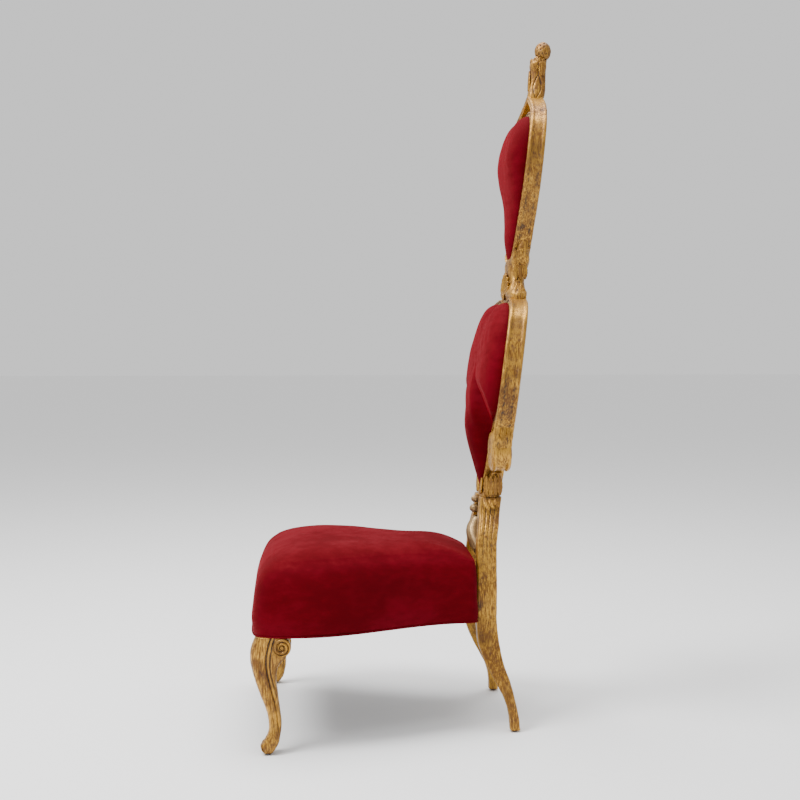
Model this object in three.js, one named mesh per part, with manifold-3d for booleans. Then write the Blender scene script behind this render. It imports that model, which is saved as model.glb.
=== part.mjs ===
// A tall carved and gilded throne chair with a velvet seat and two stacked velvet back cushions.
// Millimetres, +Z up. The chair faces -Y and its own left side is +X.
import * as THREE from 'three';
import { mergeVertices } from 'three/addons/utils/BufferGeometryUtils.js';
import Module from 'manifold-3d';

const wasm = await Module();
wasm.setup();

// Clearances
const FIT_GAP = 0.3;
const CUSHION_GAP = 1;

// Floor, glides and feet
const GLIDE_HEIGHT = 5;
const GLIDE_RADIUS = 8;
const FRONT_FOOT_HALF_SPACING = 297;
const FRONT_FOOT_Y = -322;
const REAR_FOOT_HALF_SPACING = 178;
const REAR_FOOT_Y = 293;

// Seat
const SEAT_BOTTOM = 277;
const SEAT_CROWN = 480;
const SEAT_FRONT_Y = -366;
const SEAT_REAR_Y = 201;
const SEAT_FRONT_HALF_WIDTH = 297;
const SEAT_REAR_HALF_WIDTH = 176;
const SEAT_FRONT_BOW = 7;
const SEAT_CORNER_SHARPNESS = 7;
const SEAT_REAR_STEEPNESS = 0.2;
const SEAT_BOARD_THICKNESS = 18;
const SEAT_BOARD_INSET = 16;

// Front legs
const FRONT_LEG_TOP_X = 266;
const FRONT_LEG_TOP_WIDTH = 58;
const FRONT_LEG_ANKLE_WIDTH = 31;
const FRONT_LEG_FOOT_WIDTH = 36;
const LEG_VOLUTE_RADIUS = 22.5;
const LEG_VOLUTE_RELIEF = 3;

// Rear legs, which run up as the stiles of the back
const STILE_TOP = 578;
const STILE_TOP_X = 38;
const STILE_SEAT_X = 112;
const STILE_WIDTH = 38;
const REAR_FOOT_WIDTH = 27;
const STILE_FLUTE_DEPTH = 3;

// Back: its rake, its bow across the width and its thickness
const BACK_LOW_Y = 267;
const BACK_LOW_HEIGHT = 470;
const BACK_HIGH_Y = 409;
const BACK_HIGH_HEIGHT = 1750;
const BACK_BELLY = 7;
const BACK_BOW_RADIUS = 1300;
const FRAME_LOW_THICKNESS = 53;
const FRAME_HIGH_THICKNESS = 42;

// Splat between the stiles, above the seat
const SPLAT_BOTTOM = 420;
const SPLAT_THICKNESS = 24;
const SPLAT_SETBACK = 17;
const SPLAT_SLITS = 4;

// Lower back frame
const LOWER_OPENING_BASE = STILE_TOP + 15;
const LOWER_OPENING_HEIGHT = 496;
const LOWER_OPENING_HALF_WIDTH = 199;
const LOWER_RIM_WIDTH = 36;
const LOWER_TAIL_RIM_WIDTH = 14;
const LOWER_TOP_RIM_WIDTH = 15;
const KNOB_RADIUS = 52;
const KNOB_X = 123;
const KNOB_HEIGHT = LOWER_OPENING_BASE + 113;
const KNOB_PROUD = 1.5;
const KNOB_FORWARD = 5;
const LOWER_CUSHION_CROWN = 63.5;

// Upper back frame, waist and crest
const WAIST_HALF_WIDTH = 52;
const WAIST_BOTTOM = LOWER_OPENING_BASE + LOWER_OPENING_HEIGHT + 15;
const WAIST_LENGTH = 94;
const UPPER_OPENING_BASE = WAIST_BOTTOM + WAIST_LENGTH;
const UPPER_OPENING_HEIGHT = 388;
const UPPER_OPENING_HALF_WIDTH = 142;
const UPPER_RIM_WIDTH = 33;
const UPPER_TAIL_RIM_WIDTH = 20;
const UPPER_TOP_RIM_WIDTH = 13;
const UPPER_CUSHION_CROWN = 49;
const CREST_RISE = 74;
const CREST_HEIGHT = UPPER_OPENING_BASE + UPPER_OPENING_HEIGHT + CREST_RISE;
const NECK_HALF_WIDTH = 21;
const NECK_LENGTH = 78;
const NECK_TOP = CREST_HEIGHT + NECK_LENGTH;
const FINIAL_RADIUS = 22.5;
const FINIAL_STRETCH = 1.15;
const FINIAL_SEAT_RISE = 8.25;

// Outside back panels
const PANEL_THICKNESS = 5;
const PANEL_RECESS = 5;

// Fineness of the faceted surfaces
const RIM_STATIONS = 30;
const OUTLINE_STATIONS = RIM_STATIONS;
const SEAT_STATIONS = 30;

// Colours
const AGED_GOLD = new THREE.MeshStandardMaterial({ color: 0xb0853f, roughness: 0.5, metalness: 0.6 });
const RED_VELVET = new THREE.MeshStandardMaterial({ color: 0x9a0a1e, roughness: 0.95, metalness: 0 });
const DARK_LINING = new THREE.MeshStandardMaterial({ color: 0x23201f, roughness: 0.9, metalness: 0 });
const BLACK_NYLON = new THREE.MeshStandardMaterial({ color: 0x18181a, roughness: 0.6, metalness: 0 });

const group = new THREE.Group();

// Smooth value at a place, on a curve through stations of [place, value]
function through(stations, at) {
  const last = stations.length - 1;
  const place = THREE.MathUtils.clamp(at, stations[0][0], stations[last][0]);
  let i = 0;
  while (i < last - 1 && place > stations[i + 1][0]) i += 1;
  const slope = (a, b) => (stations[b][1] - stations[a][1]) / (stations[b][0] - stations[a][0]);
  const before = slope(Math.max(i - 1, 0), i + 1);
  const after = slope(i, Math.min(i + 2, last));
  const span = stations[i + 1][0] - stations[i][0];
  const u = (place - stations[i][0]) / span;
  const bend = u * u * (3 - 2 * u);
  const leave = u * (1 - u) * (1 - u) * span * before;
  const arrive = u * u * (u - 1) * span * after;
  return stations[i][1] * (1 - bend) + stations[i + 1][1] * bend + leave + arrive;
}

// Closed surface through rings of points, capped at both ends unless the rings close on themselves
function loft(rings, closed = false) {
  const count = rings[0].length;
  const positions = rings.flat().flatMap((point) => [point.x, point.y, point.z]);
  const triangles = [];
  const spans = closed ? rings.length : rings.length - 1;
  for (let i = 0; i < spans; i += 1) {
    const here = i * count;
    const next = ((i + 1) % rings.length) * count;
    for (let j = 0; j < count; j += 1) {
      const k = (j + 1) % count;
      triangles.push(here + j, here + k, next + k);
      triangles.push(here + j, next + k, next + j);
    }
  }
  const cap = (ring, start, flip) => {
    const centre = new THREE.Vector3();
    ring.forEach((point) => centre.addScaledVector(point, 1 / count));
    const hub = positions.length / 3;
    positions.push(centre.x, centre.y, centre.z);
    for (let j = 0; j < count; j += 1) {
      const k = (j + 1) % count;
      triangles.push(hub, start + (flip ? k : j), start + (flip ? j : k));
    }
  };
  if (!closed) {
    cap(rings[0], 0, true);
    cap(rings[rings.length - 1], (rings.length - 1) * count, false);
  }
  const geometry = new THREE.BufferGeometry();
  geometry.setAttribute('position', new THREE.Float32BufferAttribute(positions, 3));
  geometry.setIndex(triangles);
  return geometry;
}

// Manifold solid of a closed geometry, turned right side out
function solid(geometry) {
  const bare = geometry.clone();
  bare.deleteAttribute('normal');
  bare.deleteAttribute('uv');
  const merged = mergeVertices(bare, 1e-3);
  const vertProperties = new Float32Array(merged.attributes.position.array);
  const triVerts = new Uint32Array(merged.index.array);
  const corner = (index) => new THREE.Vector3().fromArray(vertProperties, triVerts[index] * 3);
  let volume = 0;
  for (let i = 0; i < triVerts.length; i += 3) {
    volume += corner(i).dot(corner(i + 1).cross(corner(i + 2)));
  }
  if (volume < 0) {
    for (let i = 0; i < triVerts.length; i += 3) {
      [triVerts[i + 1], triVerts[i + 2]] = [triVerts[i + 2], triVerts[i + 1]];
    }
  }
  return new wasm.Manifold(new wasm.Mesh({ numProp: 3, vertProperties, triVerts }));
}

const joined = (...solids) => solids.reduce((whole, piece) => whole.add(piece));

// The same solid on the chair's other side
function mirrored(geometry) {
  return geometry.clone().applyMatrix4(new THREE.Matrix4().makeScale(-1, 1, 1));
}

function geometryOf(manifold) {
  const mesh = manifold.getMesh();
  const geometry = new THREE.BufferGeometry();
  geometry.setAttribute('position', new THREE.Float32BufferAttribute(mesh.vertProperties, 3));
  geometry.setIndex(Array.from(mesh.triVerts));
  return geometry;
}

function addNode(name, manifold, material) {
  const mesh = new THREE.Mesh(geometryOf(manifold), material.clone());
  mesh.name = name;
  group.add(mesh);
}

// Back face of the carved back at the middle of the chair: a straight rake with a slight belly
function rakeY(z) {
  const share = (z - BACK_LOW_HEIGHT) / (BACK_HIGH_HEIGHT - BACK_LOW_HEIGHT);
  const belly = BACK_BELLY * Math.max(0, Math.sin(Math.PI * share));
  return BACK_LOW_Y + (BACK_HIGH_Y - BACK_LOW_Y) * share + belly;
}

// A point on the back: x across, z up, depth forward from the back face
function backPoint(x, depth, z) {
  return new THREE.Vector3(x, rakeY(z) - (x * x) / (2 * BACK_BOW_RADIUS) - depth, z);
}

function frameThickness(z) {
  const share = (z - STILE_TOP) / (CREST_HEIGHT - STILE_TOP);
  return THREE.MathUtils.lerp(FRAME_LOW_THICKNESS, FRAME_HIGH_THICKNESS, share);
}

// Closed outline from the shares of its right half, tip first and top last
function cartouche(shares, halfWidth, base, height) {
  const right = shares.map(([x, z]) => new THREE.Vector3(x * halfWidth, z * height + base, 0));
  const left = right.slice(1, -1).reverse().map((point) => new THREE.Vector3(-point.x, point.y, 0));
  return new THREE.CatmullRomCurve3([...right, ...left], true, 'centripetal');
}

const LOWER_SHARES = [
  [0, 0], [0.14, 0.085], [0.22, 0.19], [0.3, 0.31], [0.47, 0.39], [0.76, 0.445],
  [0.94, 0.55], [1, 0.69], [0.93, 0.83], [0.72, 0.945], [0.38, 1], [0, 0.97],
];
const UPPER_SHARES = [
  [0, 0], [0.17, 0.06], [0.31, 0.15], [0.48, 0.28], [0.67, 0.41], [0.86, 0.55],
  [0.98, 0.68], [1, 0.79], [0.9, 0.89], [0.66, 0.965], [0.34, 1], [0, 0.985],
];
const lowerOutline = cartouche(
  LOWER_SHARES, LOWER_OPENING_HALF_WIDTH, LOWER_OPENING_BASE, LOWER_OPENING_HEIGHT);
const upperOutline = cartouche(
  UPPER_SHARES, UPPER_OPENING_HALF_WIDTH, UPPER_OPENING_BASE, UPPER_OPENING_HEIGHT);

// Points of an outline moved outward by a distance, which may change along it
function offsetOutline(outline, count, distance) {
  const points = [];
  for (let i = 0; i < count; i += 1) {
    const share = i / count;
    const point = outline.getPointAt(share);
    const tangent = outline.getTangentAt(share);
    const away = new THREE.Vector3(tangent.y, -tangent.x, 0);
    points.push(point.addScaledVector(away, distance(share)));
  }
  return points;
}

// Section of a carved frame member: shares of its width outward, and depth from the back face.
// A bead stands at the opening, a cove follows, and two fillets edge the outer face.
function frameSection(width, thickness) {
  const cove = Math.min(5, width * 0.16);
  const groove = Math.min(3, width * 0.1);
  const corner = Math.min(4, width * 0.15);
  return [
    [0, thickness - corner], [0.12 * width, thickness], [0.28 * width, thickness],
    [0.4 * width, thickness - cove], [0.66 * width, thickness - cove],
    [0.82 * width, thickness], [width, thickness - corner],
    [width, 0.78 * thickness], [width - groove, 0.68 * thickness],
    [width - groove, 0.3 * thickness], [width, 0.2 * thickness],
    [width - corner, 0], [0, 0],
  ];
}

// Carved rim round an opening; its width follows a function of the share round the outline
function rim(outline, widthAt) {
  const rings = [];
  for (let i = 0; i < RIM_STATIONS; i += 1) {
    const share = i / RIM_STATIONS;
    const edge = outline.getPointAt(share);
    const tangent = outline.getTangentAt(share);
    const section = frameSection(widthAt(share), frameThickness(edge.y));
    rings.push(section.map(([out, depth]) => (
      backPoint(edge.x + tangent.y * out, depth, edge.y - tangent.x * out))));
  }
  return loft(rings, true);
}

// Wide round the lobes, narrow beside the tail and at the top; the tail's tip is at share 0
function rimWidths(wide, narrow, tailShare, top) {
  return (share) => {
    const fromTip = Math.min(share, 1 - share);
    const grown = THREE.MathUtils.smoothstep(fromTip, tailShare * 0.6, tailShare * 1.4);
    const crossed = THREE.MathUtils.smoothstep(fromTip, 0.36, 0.44);
    return THREE.MathUtils.lerp(THREE.MathUtils.lerp(narrow, wide, grown), top, crossed);
  };
}
const lowerRimWidth = rimWidths(
  LOWER_RIM_WIDTH, LOWER_TAIL_RIM_WIDTH, 0.22, LOWER_TOP_RIM_WIDTH);
const upperRimWidth = rimWidths(
  UPPER_RIM_WIDTH, UPPER_TAIL_RIM_WIDTH, 0.16, UPPER_TOP_RIM_WIDTH);

// Carved arm along a path on the back's front plane, outer face on the path's right
function arm(points, widthAt, steps) {
  const path = new THREE.CatmullRomCurve3(
    points.map(([x, z]) => new THREE.Vector3(x, z, 0)), false, 'centripetal');
  const rings = [];
  for (let i = 0; i <= steps; i += 1) {
    const share = i / steps;
    const edge = path.getPointAt(share);
    const tangent = path.getTangentAt(share);
    const width = widthAt(share);
    rings.push(frameSection(width, frameThickness(edge.y) - 1).map(([out, depth]) => backPoint(
      edge.x + tangent.y * (out - width), depth + 0.5, edge.y - tangent.x * (out - width))));
  }
  return loft(rings);
}

// Round scroll end seen from the front, with a turned groove and an eye on both faces
function knob(x, z, radius, proud, sides) {
  const half = frameThickness(z) / 2 + proud;
  const profile = [
    [0, -half], [0.88, -half], [1, -half + 9], [1, half - 9], [0.86, half], [0.68, half],
    [0.58, half - 3], [0.32, half - 3], [0.2, half + 1], [0, half + 2],
  ].map(([share, along]) => new THREE.Vector2(share * radius, -along));
  const centre = backPoint(x, frameThickness(z) / 2 + KNOB_FORWARD, z);
  return new THREE.LatheGeometry(profile, sides).translate(centre.x, centre.y, centre.z);
}

// Shell: ribs that fan out from a hub, raised on the front of the frame
function shell(x, z, radius, depthAt, ribs, spread, turn) {
  const rings = [];
  const steps = ribs * 2;
  for (let i = 0; i <= steps; i += 1) {
    const share = i / steps;
    const angle = turn + (share - 0.5) * spread;
    const ripple = Math.abs(Math.sin(Math.PI * ribs * share));
    const reach = radius * (0.9 + 0.1 * ripple);
    const ring = [[0.12, -4], [1, -4], [1, 2 + 3 * ripple], [0.6, 4 + 4 * ripple], [0.12, 5]];
    rings.push(ring.map(([part, rise]) => {
      const px = x + Math.sin(angle) * reach * part;
      const pz = z + Math.cos(angle) * reach * part;
      return backPoint(px, depthAt(pz) + rise, pz);
    }));
  }
  return loft(rings);
}

// Upright carved piece in level slices: half width, back depth and front depth at each height
function slices(stations, sides, shape) {
  const rings = stations.map(([z, halfWidth, back, front]) => {
    const ring = [];
    for (let j = 0; j < sides; j += 1) {
      const angle = (2 * Math.PI * (j + 0.5)) / sides;
      const lobe = shape(angle, z);
      const x = Math.sin(angle) * halfWidth * lobe;
      const depth = (back + front) / 2 + Math.cos(angle) * ((front - back) / 2) * lobe;
      ring.push(backPoint(x, depth, z));
    }
    return ring;
  });
  return loft(rings);
}

// Places of the rear legs and stiles, level by level: middle across, front face and back face
const STILE_X = [
  [GLIDE_HEIGHT, REAR_FOOT_HALF_SPACING], [40, REAR_FOOT_HALF_SPACING - 4],
  [120, REAR_FOOT_HALF_SPACING - 22], [200, STILE_SEAT_X + 18], [280, STILE_SEAT_X + 3],
  [360, STILE_SEAT_X - 2], [430, STILE_SEAT_X - 18], [490, STILE_TOP_X + 38],
  [540, STILE_TOP_X + 8], [STILE_TOP, STILE_TOP_X],
];
const STILE_FRONT = [
  [GLIDE_HEIGHT, REAR_FOOT_Y - 13], [44, REAR_FOOT_Y - 16], [78, REAR_FOOT_Y - 25],
  [110, REAR_FOOT_Y - 41], [149, REAR_FOOT_Y - 62], [200, 209], [235, 203], [320, 202],
  [400, 205], [467, 208], [520, 216], [STILE_TOP, 222],
];
const STILE_BACK = [
  [GLIDE_HEIGHT, REAR_FOOT_Y + 13], [36, REAR_FOOT_Y + 10], [82, REAR_FOOT_Y + 1],
  [122, REAR_FOOT_Y - 9], [162, REAR_FOOT_Y - 23], [204, 262], [257, 256], [330, 256.5],
  [407, 258], [467, 261], [520, 271], [STILE_TOP, 280],
];
const STILE_HALF_WIDTH = [
  [GLIDE_HEIGHT, REAR_FOOT_WIDTH / 2], [90, REAR_FOOT_WIDTH / 2 + 1],
  [200, STILE_WIDTH / 2 - 1], [300, STILE_WIDTH / 2], [460, STILE_WIDTH / 2],
  [STILE_TOP, STILE_WIDTH / 2 + 2],
];

function stileLevels() {
  const feet = [GLIDE_HEIGHT + FIT_GAP, 36, 70, 104, 138, 172, 206, 250];
  const upper = [320, 385, 420, 450, 480, 508, 540, STILE_TOP];
  return [...feet, ...upper];
}

// Level slice of the left stile; its outer face carries upright flutes above the seat
function stileRing(z) {
  const middle = through(STILE_X, z);
  const half = through(STILE_HALF_WIDTH, z);
  const front = through(STILE_FRONT, z);
  const back = through(STILE_BACK, z);
  const deep = back - front;
  const bevel = Math.min(5, half * 0.3);
  const flute = STILE_FLUTE_DEPTH * THREE.MathUtils.smoothstep(z, 400, 440);
  return [
    [-half, bevel], [-half + bevel, 0], [half - bevel, 0], [half, bevel],
    [half, 0.22 * deep], [half - flute, 0.34 * deep], [half, 0.46 * deep],
    [half - flute, 0.6 * deep], [half, 0.74 * deep],
    [half, deep - bevel], [half - bevel, deep], [-half + bevel, deep], [-half, deep - bevel],
  ].map(([x, y]) => new THREE.Vector3(middle + x, front + y, z));
}

function rearLeg() {
  const leg = solid(loft(stileLevels().map(stileRing)));
  const bossHeight = STILE_TOP - 28;
  const boss = new THREE.CylinderGeometry(10, 12, 8, 12)
    .rotateZ(-Math.PI / 2)
    .translate(
      through(STILE_X, bossHeight) + through(STILE_HALF_WIDTH, bossHeight) - 1,
      (through(STILE_FRONT, bossHeight) + through(STILE_BACK, bossHeight)) / 2,
      bossHeight);
  return leg.add(solid(boss));
}

// Front leg: front and rear edges of its side view, and its middle and width across
const FRONT_LEG_TOP = SEAT_BOTTOM - FIT_GAP;
const LEG_VOLUTE_Z = FRONT_LEG_TOP - LEG_VOLUTE_RADIUS - 1;
const LEG_VOLUTE_Y = FRONT_FOOT_Y + 28;
const FRONT_LEG_FRONT = [
  [GLIDE_HEIGHT, FRONT_FOOT_Y - 16], [20, FRONT_FOOT_Y - 23], [37, FRONT_FOOT_Y - 12],
  [55, FRONT_FOOT_Y - 4], [78, FRONT_FOOT_Y - 4], [103, FRONT_FOOT_Y - 10],
  [136, FRONT_FOOT_Y - 24], [171, FRONT_FOOT_Y - 37], [206, FRONT_FOOT_Y - 47],
  [231, FRONT_FOOT_Y - 50], [252, FRONT_FOOT_Y - 47], [FRONT_LEG_TOP, FRONT_FOOT_Y - 37],
];
const FRONT_LEG_REAR = [
  [GLIDE_HEIGHT, FRONT_FOOT_Y + 8], [22, FRONT_FOOT_Y + 20], [47, FRONT_FOOT_Y + 26],
  [70, FRONT_FOOT_Y + 28], [90, FRONT_FOOT_Y + 26], [135, FRONT_FOOT_Y + 20],
  [178, FRONT_FOOT_Y + 15], [205, FRONT_FOOT_Y + 21], [225, LEG_VOLUTE_Y + 11],
  [252, LEG_VOLUTE_Y + LEG_VOLUTE_RADIUS], [FRONT_LEG_TOP, LEG_VOLUTE_Y + 12],
];
const FRONT_LEG_X = [
  [GLIDE_HEIGHT, FRONT_FOOT_HALF_SPACING], [40, FRONT_FOOT_HALF_SPACING - 4],
  [90, FRONT_LEG_TOP_X + 19], [170, FRONT_LEG_TOP_X + 6], [FRONT_LEG_TOP, FRONT_LEG_TOP_X],
];
const FRONT_LEG_HALF_WIDTH = [
  [GLIDE_HEIGHT, FRONT_LEG_FOOT_WIDTH / 2 - 4], [22, FRONT_LEG_FOOT_WIDTH / 2],
  [60, FRONT_LEG_ANKLE_WIDTH / 2], [95, FRONT_LEG_ANKLE_WIDTH / 2 + 1],
  [180, FRONT_LEG_TOP_WIDTH / 2 - 5], [FRONT_LEG_TOP, FRONT_LEG_TOP_WIDTH / 2],
];

// Level slice of the left front leg, with a ridge between two grooves down its outer face
function frontLegRing(z) {
  const middle = through(FRONT_LEG_X, z);
  const half = through(FRONT_LEG_HALF_WIDTH, z);
  const front = through(FRONT_LEG_FRONT, z);
  const deep = through(FRONT_LEG_REAR, z) - front;
  const groove = 2.5 * THREE.MathUtils.smoothstep(z, 50, 90)
    * (1 - THREE.MathUtils.smoothstep(z, 205, 240));
  return [
    [-half, 0.3 * deep], [-0.72 * half, 0.08 * deep], [0, 0], [0.72 * half, 0.08 * deep],
    [half, 0.26 * deep], [half - groove, 0.36 * deep], [half, 0.48 * deep],
    [half - groove, 0.6 * deep], [half, 0.72 * deep], [0.72 * half, 0.93 * deep],
    [0, deep], [-0.72 * half, 0.93 * deep], [-half, 0.72 * deep],
  ].map(([x, y]) => new THREE.Vector3(middle + x, front + y, z));
}

// Disc with a raised spiral rim and a round eye, on one side face of a leg
function legVolute(outward) {
  const half = through(FRONT_LEG_HALF_WIDTH, LEG_VOLUTE_Z);
  const profile = [
    [0, -8], [LEG_VOLUTE_RADIUS - 1, -8], [LEG_VOLUTE_RADIUS, LEG_VOLUTE_RELIEF - 2],
    [LEG_VOLUTE_RADIUS - 5, LEG_VOLUTE_RELIEF],
    [LEG_VOLUTE_RADIUS - 8, 0], [8, 0], [6, LEG_VOLUTE_RELIEF], [0, LEG_VOLUTE_RELIEF + 1],
  ].map(([radius, along]) => new THREE.Vector2(radius, along));
  return new THREE.LatheGeometry(profile, 14)
    .rotateZ(-outward * Math.PI / 2)
    .translate(FRONT_LEG_TOP_X + outward * half, LEG_VOLUTE_Y, LEG_VOLUTE_Z);
}

function frontLeg() {
  const levels = [
    GLIDE_HEIGHT + FIT_GAP, 20, 34, 52, 76, 102, 128, 156, 182, 204, 224, 242, 258,
    FRONT_LEG_TOP,
  ];
  return joined(
    solid(loft(levels.map(frontLegRing))), solid(legVolute(1)), solid(legVolute(-1)));
}

function glide(x, y) {
  return solid(new THREE.CylinderGeometry(GLIDE_RADIUS, GLIDE_RADIUS - 1, GLIDE_HEIGHT, 14)
    .rotateX(Math.PI / 2)
    .translate(x, y, GLIDE_HEIGHT / 2));
}

// Seat plan: bell shaped, wide and square at the front, drawn in towards the stiles
function seatHalfWidth(y) {
  const share = THREE.MathUtils.clamp((y - SEAT_FRONT_Y) / (SEAT_REAR_Y - SEAT_FRONT_Y), 0, 1);
  const drawn = THREE.MathUtils.smoothstep(share, 0.22, 0.95);
  return THREE.MathUtils.lerp(SEAT_FRONT_HALF_WIDTH, SEAT_REAR_HALF_WIDTH, drawn);
}

// Point of the seat plan at an angle, drawn in by an inset, less at the rear, which is upright
function seatPlan(angle, inset) {
  const power = 2 / SEAT_CORNER_SHARPNESS;
  const bend = (value) => Math.sign(value) * Math.abs(value) ** power;
  const middle = (SEAT_FRONT_Y + SEAT_REAR_Y) / 2;
  const along = (SEAT_REAR_Y - SEAT_FRONT_Y) / 2;
  const across = bend(Math.sin(angle));
  const drawn = Math.cos(angle) > 0 ? inset : inset * SEAT_REAR_STEEPNESS;
  const y = middle - bend(Math.cos(angle)) * (along - drawn);
  const front = THREE.MathUtils.smoothstep(Math.cos(angle), 0, 1);
  const bow = SEAT_FRONT_BOW * (1 - across * across) * front;
  return new THREE.Vector3(across * (seatHalfWidth(y) - inset), y - bow, 0);
}

// Height of the seat's top along its length: how far it falls from the crown, at shares of depth
const SEAT_CROWN_LINE = [
  [0, 12], [0.205, 3], [0.335, 0], [0.67, 4], [0.86, 14], [1, 32],
].map(([share, fall]) => (
  [THREE.MathUtils.lerp(SEAT_FRONT_Y, SEAT_REAR_Y, share), SEAT_CROWN - fall]));

function seat() {
  const walls = [
    [0, 2], [0.08, 0], [0.42, 4], [0.64, 12], [0.79, 26], [0.89, 50], [0.96, 96], [1, 180],
  ];
  const rings = walls.map(([rise, inset]) => {
    const ring = [];
    for (let j = 0; j < SEAT_STATIONS; j += 1) {
      const angle = (2 * Math.PI * (j + 0.5)) / SEAT_STATIONS;
      const point = seatPlan(angle, inset);
      const crown = through(SEAT_CROWN_LINE, point.y) - SEAT_BOTTOM;
      point.z = SEAT_BOTTOM + crown * rise;
      ring.push(point);
    }
    return ring;
  });
  return solid(loft(rings));
}

// Board under the seat, let into the velvet's lower edge
function seatBoard(inset, bottom, top) {
  const rings = [bottom, top].map((z) => {
    const ring = [];
    for (let j = 0; j < SEAT_STATIONS; j += 1) {
      const point = seatPlan((2 * Math.PI * (j + 0.5)) / SEAT_STATIONS, inset);
      point.z = z;
      ring.push(point);
    }
    return ring;
  });
  return solid(loft(rings));
}

// How far each cushion stands out, as shares of its crown, at shares of its opening's height
const LOWER_SWELL = [
  [0, 0], [0.03, 0.19], [0.13, 0.47], [0.24, 0.73], [0.37, 0.92], [0.48, 0.98], [0.56, 1],
  [0.67, 0.97], [0.8, 0.91], [0.89, 0.82], [0.96, 0.64], [1, 0.4],
];
const UPPER_SWELL = [
  [0, 0.15], [0.07, 0.28], [0.16, 0.4], [0.28, 0.42], [0.41, 0.49], [0.58, 0.81], [0.69, 1],
  [0.76, 1], [0.89, 0.77], [0.97, 0.58], [1, 0.4],
];

// Cushion in an opening: a crowned form whose depth follows its own outline
function cushion(outline, base, height, crown, swell) {
  const rings = [];
  const inside = [[1, 0], [1, 1], [0.97, 1], [0.88, 1], [0.7, 1], [0.45, 1], [0.18, 1]];
  const middle = base + height * 0.62;
  inside.forEach(([scale, front]) => {
    const points = offsetOutline(outline, OUTLINE_STATIONS, () => -CUSHION_GAP);
    rings.push(points.map((point) => {
      const z = middle + (point.y - middle) * scale;
      const x = point.x * scale;
      const dome = crown * through(swell, (z - base) / height) * Math.sqrt(1 - scale ** 4);
      const floor = PANEL_THICKNESS + PANEL_RECESS + FIT_GAP;
      const depth = front ? frameThickness(z) - 2 + dome : floor;
      return backPoint(x, depth, z);
    }));
  });
  return solid(loft(rings));
}

// Flat panel that closes an opening from behind
function outsidePanel(outline) {
  const rings = [PANEL_RECESS, PANEL_RECESS + PANEL_THICKNESS].map((depth) => (
    offsetOutline(outline, OUTLINE_STATIONS, () => -CUSHION_GAP)
      .map((point) => backPoint(point.x, depth, point.y))));
  return solid(loft(rings));
}

// Splat: a pierced fan between the stiles, with two scroll tips on its middle line
function splat() {
  const levels = [SPLAT_BOTTOM, ...stileLevels().filter((z) => z > SPLAT_BOTTOM)];
  const inner = (z) => through(STILE_X, z) - through(STILE_HALF_WIDTH, z) - FIT_GAP;
  const rings = levels.map((z) => {
    const front = through(STILE_FRONT, z) + SPLAT_SETBACK;
    const half = inner(z);
    return [[-half, 0], [-0.5 * half, -5], [0, -8], [0.5 * half, -5], [half, 0],
      [half, SPLAT_THICKNESS], [-half, SPLAT_THICKNESS]]
      .map(([x, y]) => new THREE.Vector3(x, front + y, z));
  });
  let plate = solid(loft(rings));
  const hub = STILE_TOP - 30;
  for (let i = 0; i < SPLAT_SLITS; i += 1) {
    const angle = ((i + 0.5) / SPLAT_SLITS - 0.5) * 1.15;
    const slit = new THREE.CylinderGeometry(1.5, 6.5, 62, 6)
      .scale(1, 1, 12)
      .translate(0, -75, 0)
      .rotateX(Math.PI / 2)
      .rotateY(-angle)
      .translate(0, through(STILE_FRONT, hub) + SPLAT_SETBACK, hub);
    plate = plate.subtract(solid(slit));
  }
  const tips = [[STILE_TOP - 12, 10], [STILE_TOP - 38, 11]].map(([z, radius]) => (
    solid(new THREE.SphereGeometry(radius, 10, 8)
      .scale(1, 1.5, 1.15)
      .translate(0, through(STILE_FRONT, z) - radius * 0.25, z))));
  return joined(plate, ...tips);
}

// Prism of an outline, moved outward by a distance, that cuts right through the back
function throughCut(outline, distance) {
  return solid(loft([-30, FRAME_LOW_THICKNESS + 60].map((depth) => (
    offsetOutline(outline, RIM_STATIONS, distance)
      .map((point) => backPoint(point.x, depth, point.y))))));
}

// Lower back frame: rim, scroll arms with knobs, and the block that the stiles' heads meet
function lowerFrame() {
  const round = rim(lowerOutline, lowerRimWidth);
  const outer = LOWER_OPENING_HALF_WIDTH + LOWER_RIM_WIDTH;
  const armPath = [
    [outer - 1, LOWER_OPENING_BASE + 0.665 * LOWER_OPENING_HEIGHT],
    [outer - 11, LOWER_OPENING_BASE + 0.534 * LOWER_OPENING_HEIGHT],
    [outer - 36, LOWER_OPENING_BASE + 0.419 * LOWER_OPENING_HEIGHT],
    [KNOB_X + KNOB_RADIUS + 6, KNOB_HEIGHT + 58],
    [KNOB_X + KNOB_RADIUS - 3, KNOB_HEIGHT + 12],
  ];
  const scrollArm = arm(armPath.reverse(), () => 34, 8);
  const knobGeometry = knob(KNOB_X, KNOB_HEIGHT, KNOB_RADIUS, KNOB_PROUD, 14);
  const bottom = STILE_TOP + FIT_GAP;
  const reach = STILE_TOP_X + STILE_WIDTH / 2;
  const block = slices([
    [bottom, reach, 0, FRAME_LOW_THICKNESS + 2], [bottom + 12, reach + 3, 0, FRAME_LOW_THICKNESS],
    [bottom + 40, reach, 0, FRAME_LOW_THICKNESS - 8],
    [bottom + 64, reach + 4, 4, FRAME_LOW_THICKNESS - 14],
  ], 12, () => 1);
  const opening = throughCut(lowerOutline, () => 0);
  const trimmed = [scrollArm, mirrored(scrollArm), knobGeometry, mirrored(knobGeometry), block]
    .map((geometry) => solid(geometry).subtract(opening));
  return joined(solid(round), ...trimmed);
}

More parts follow.
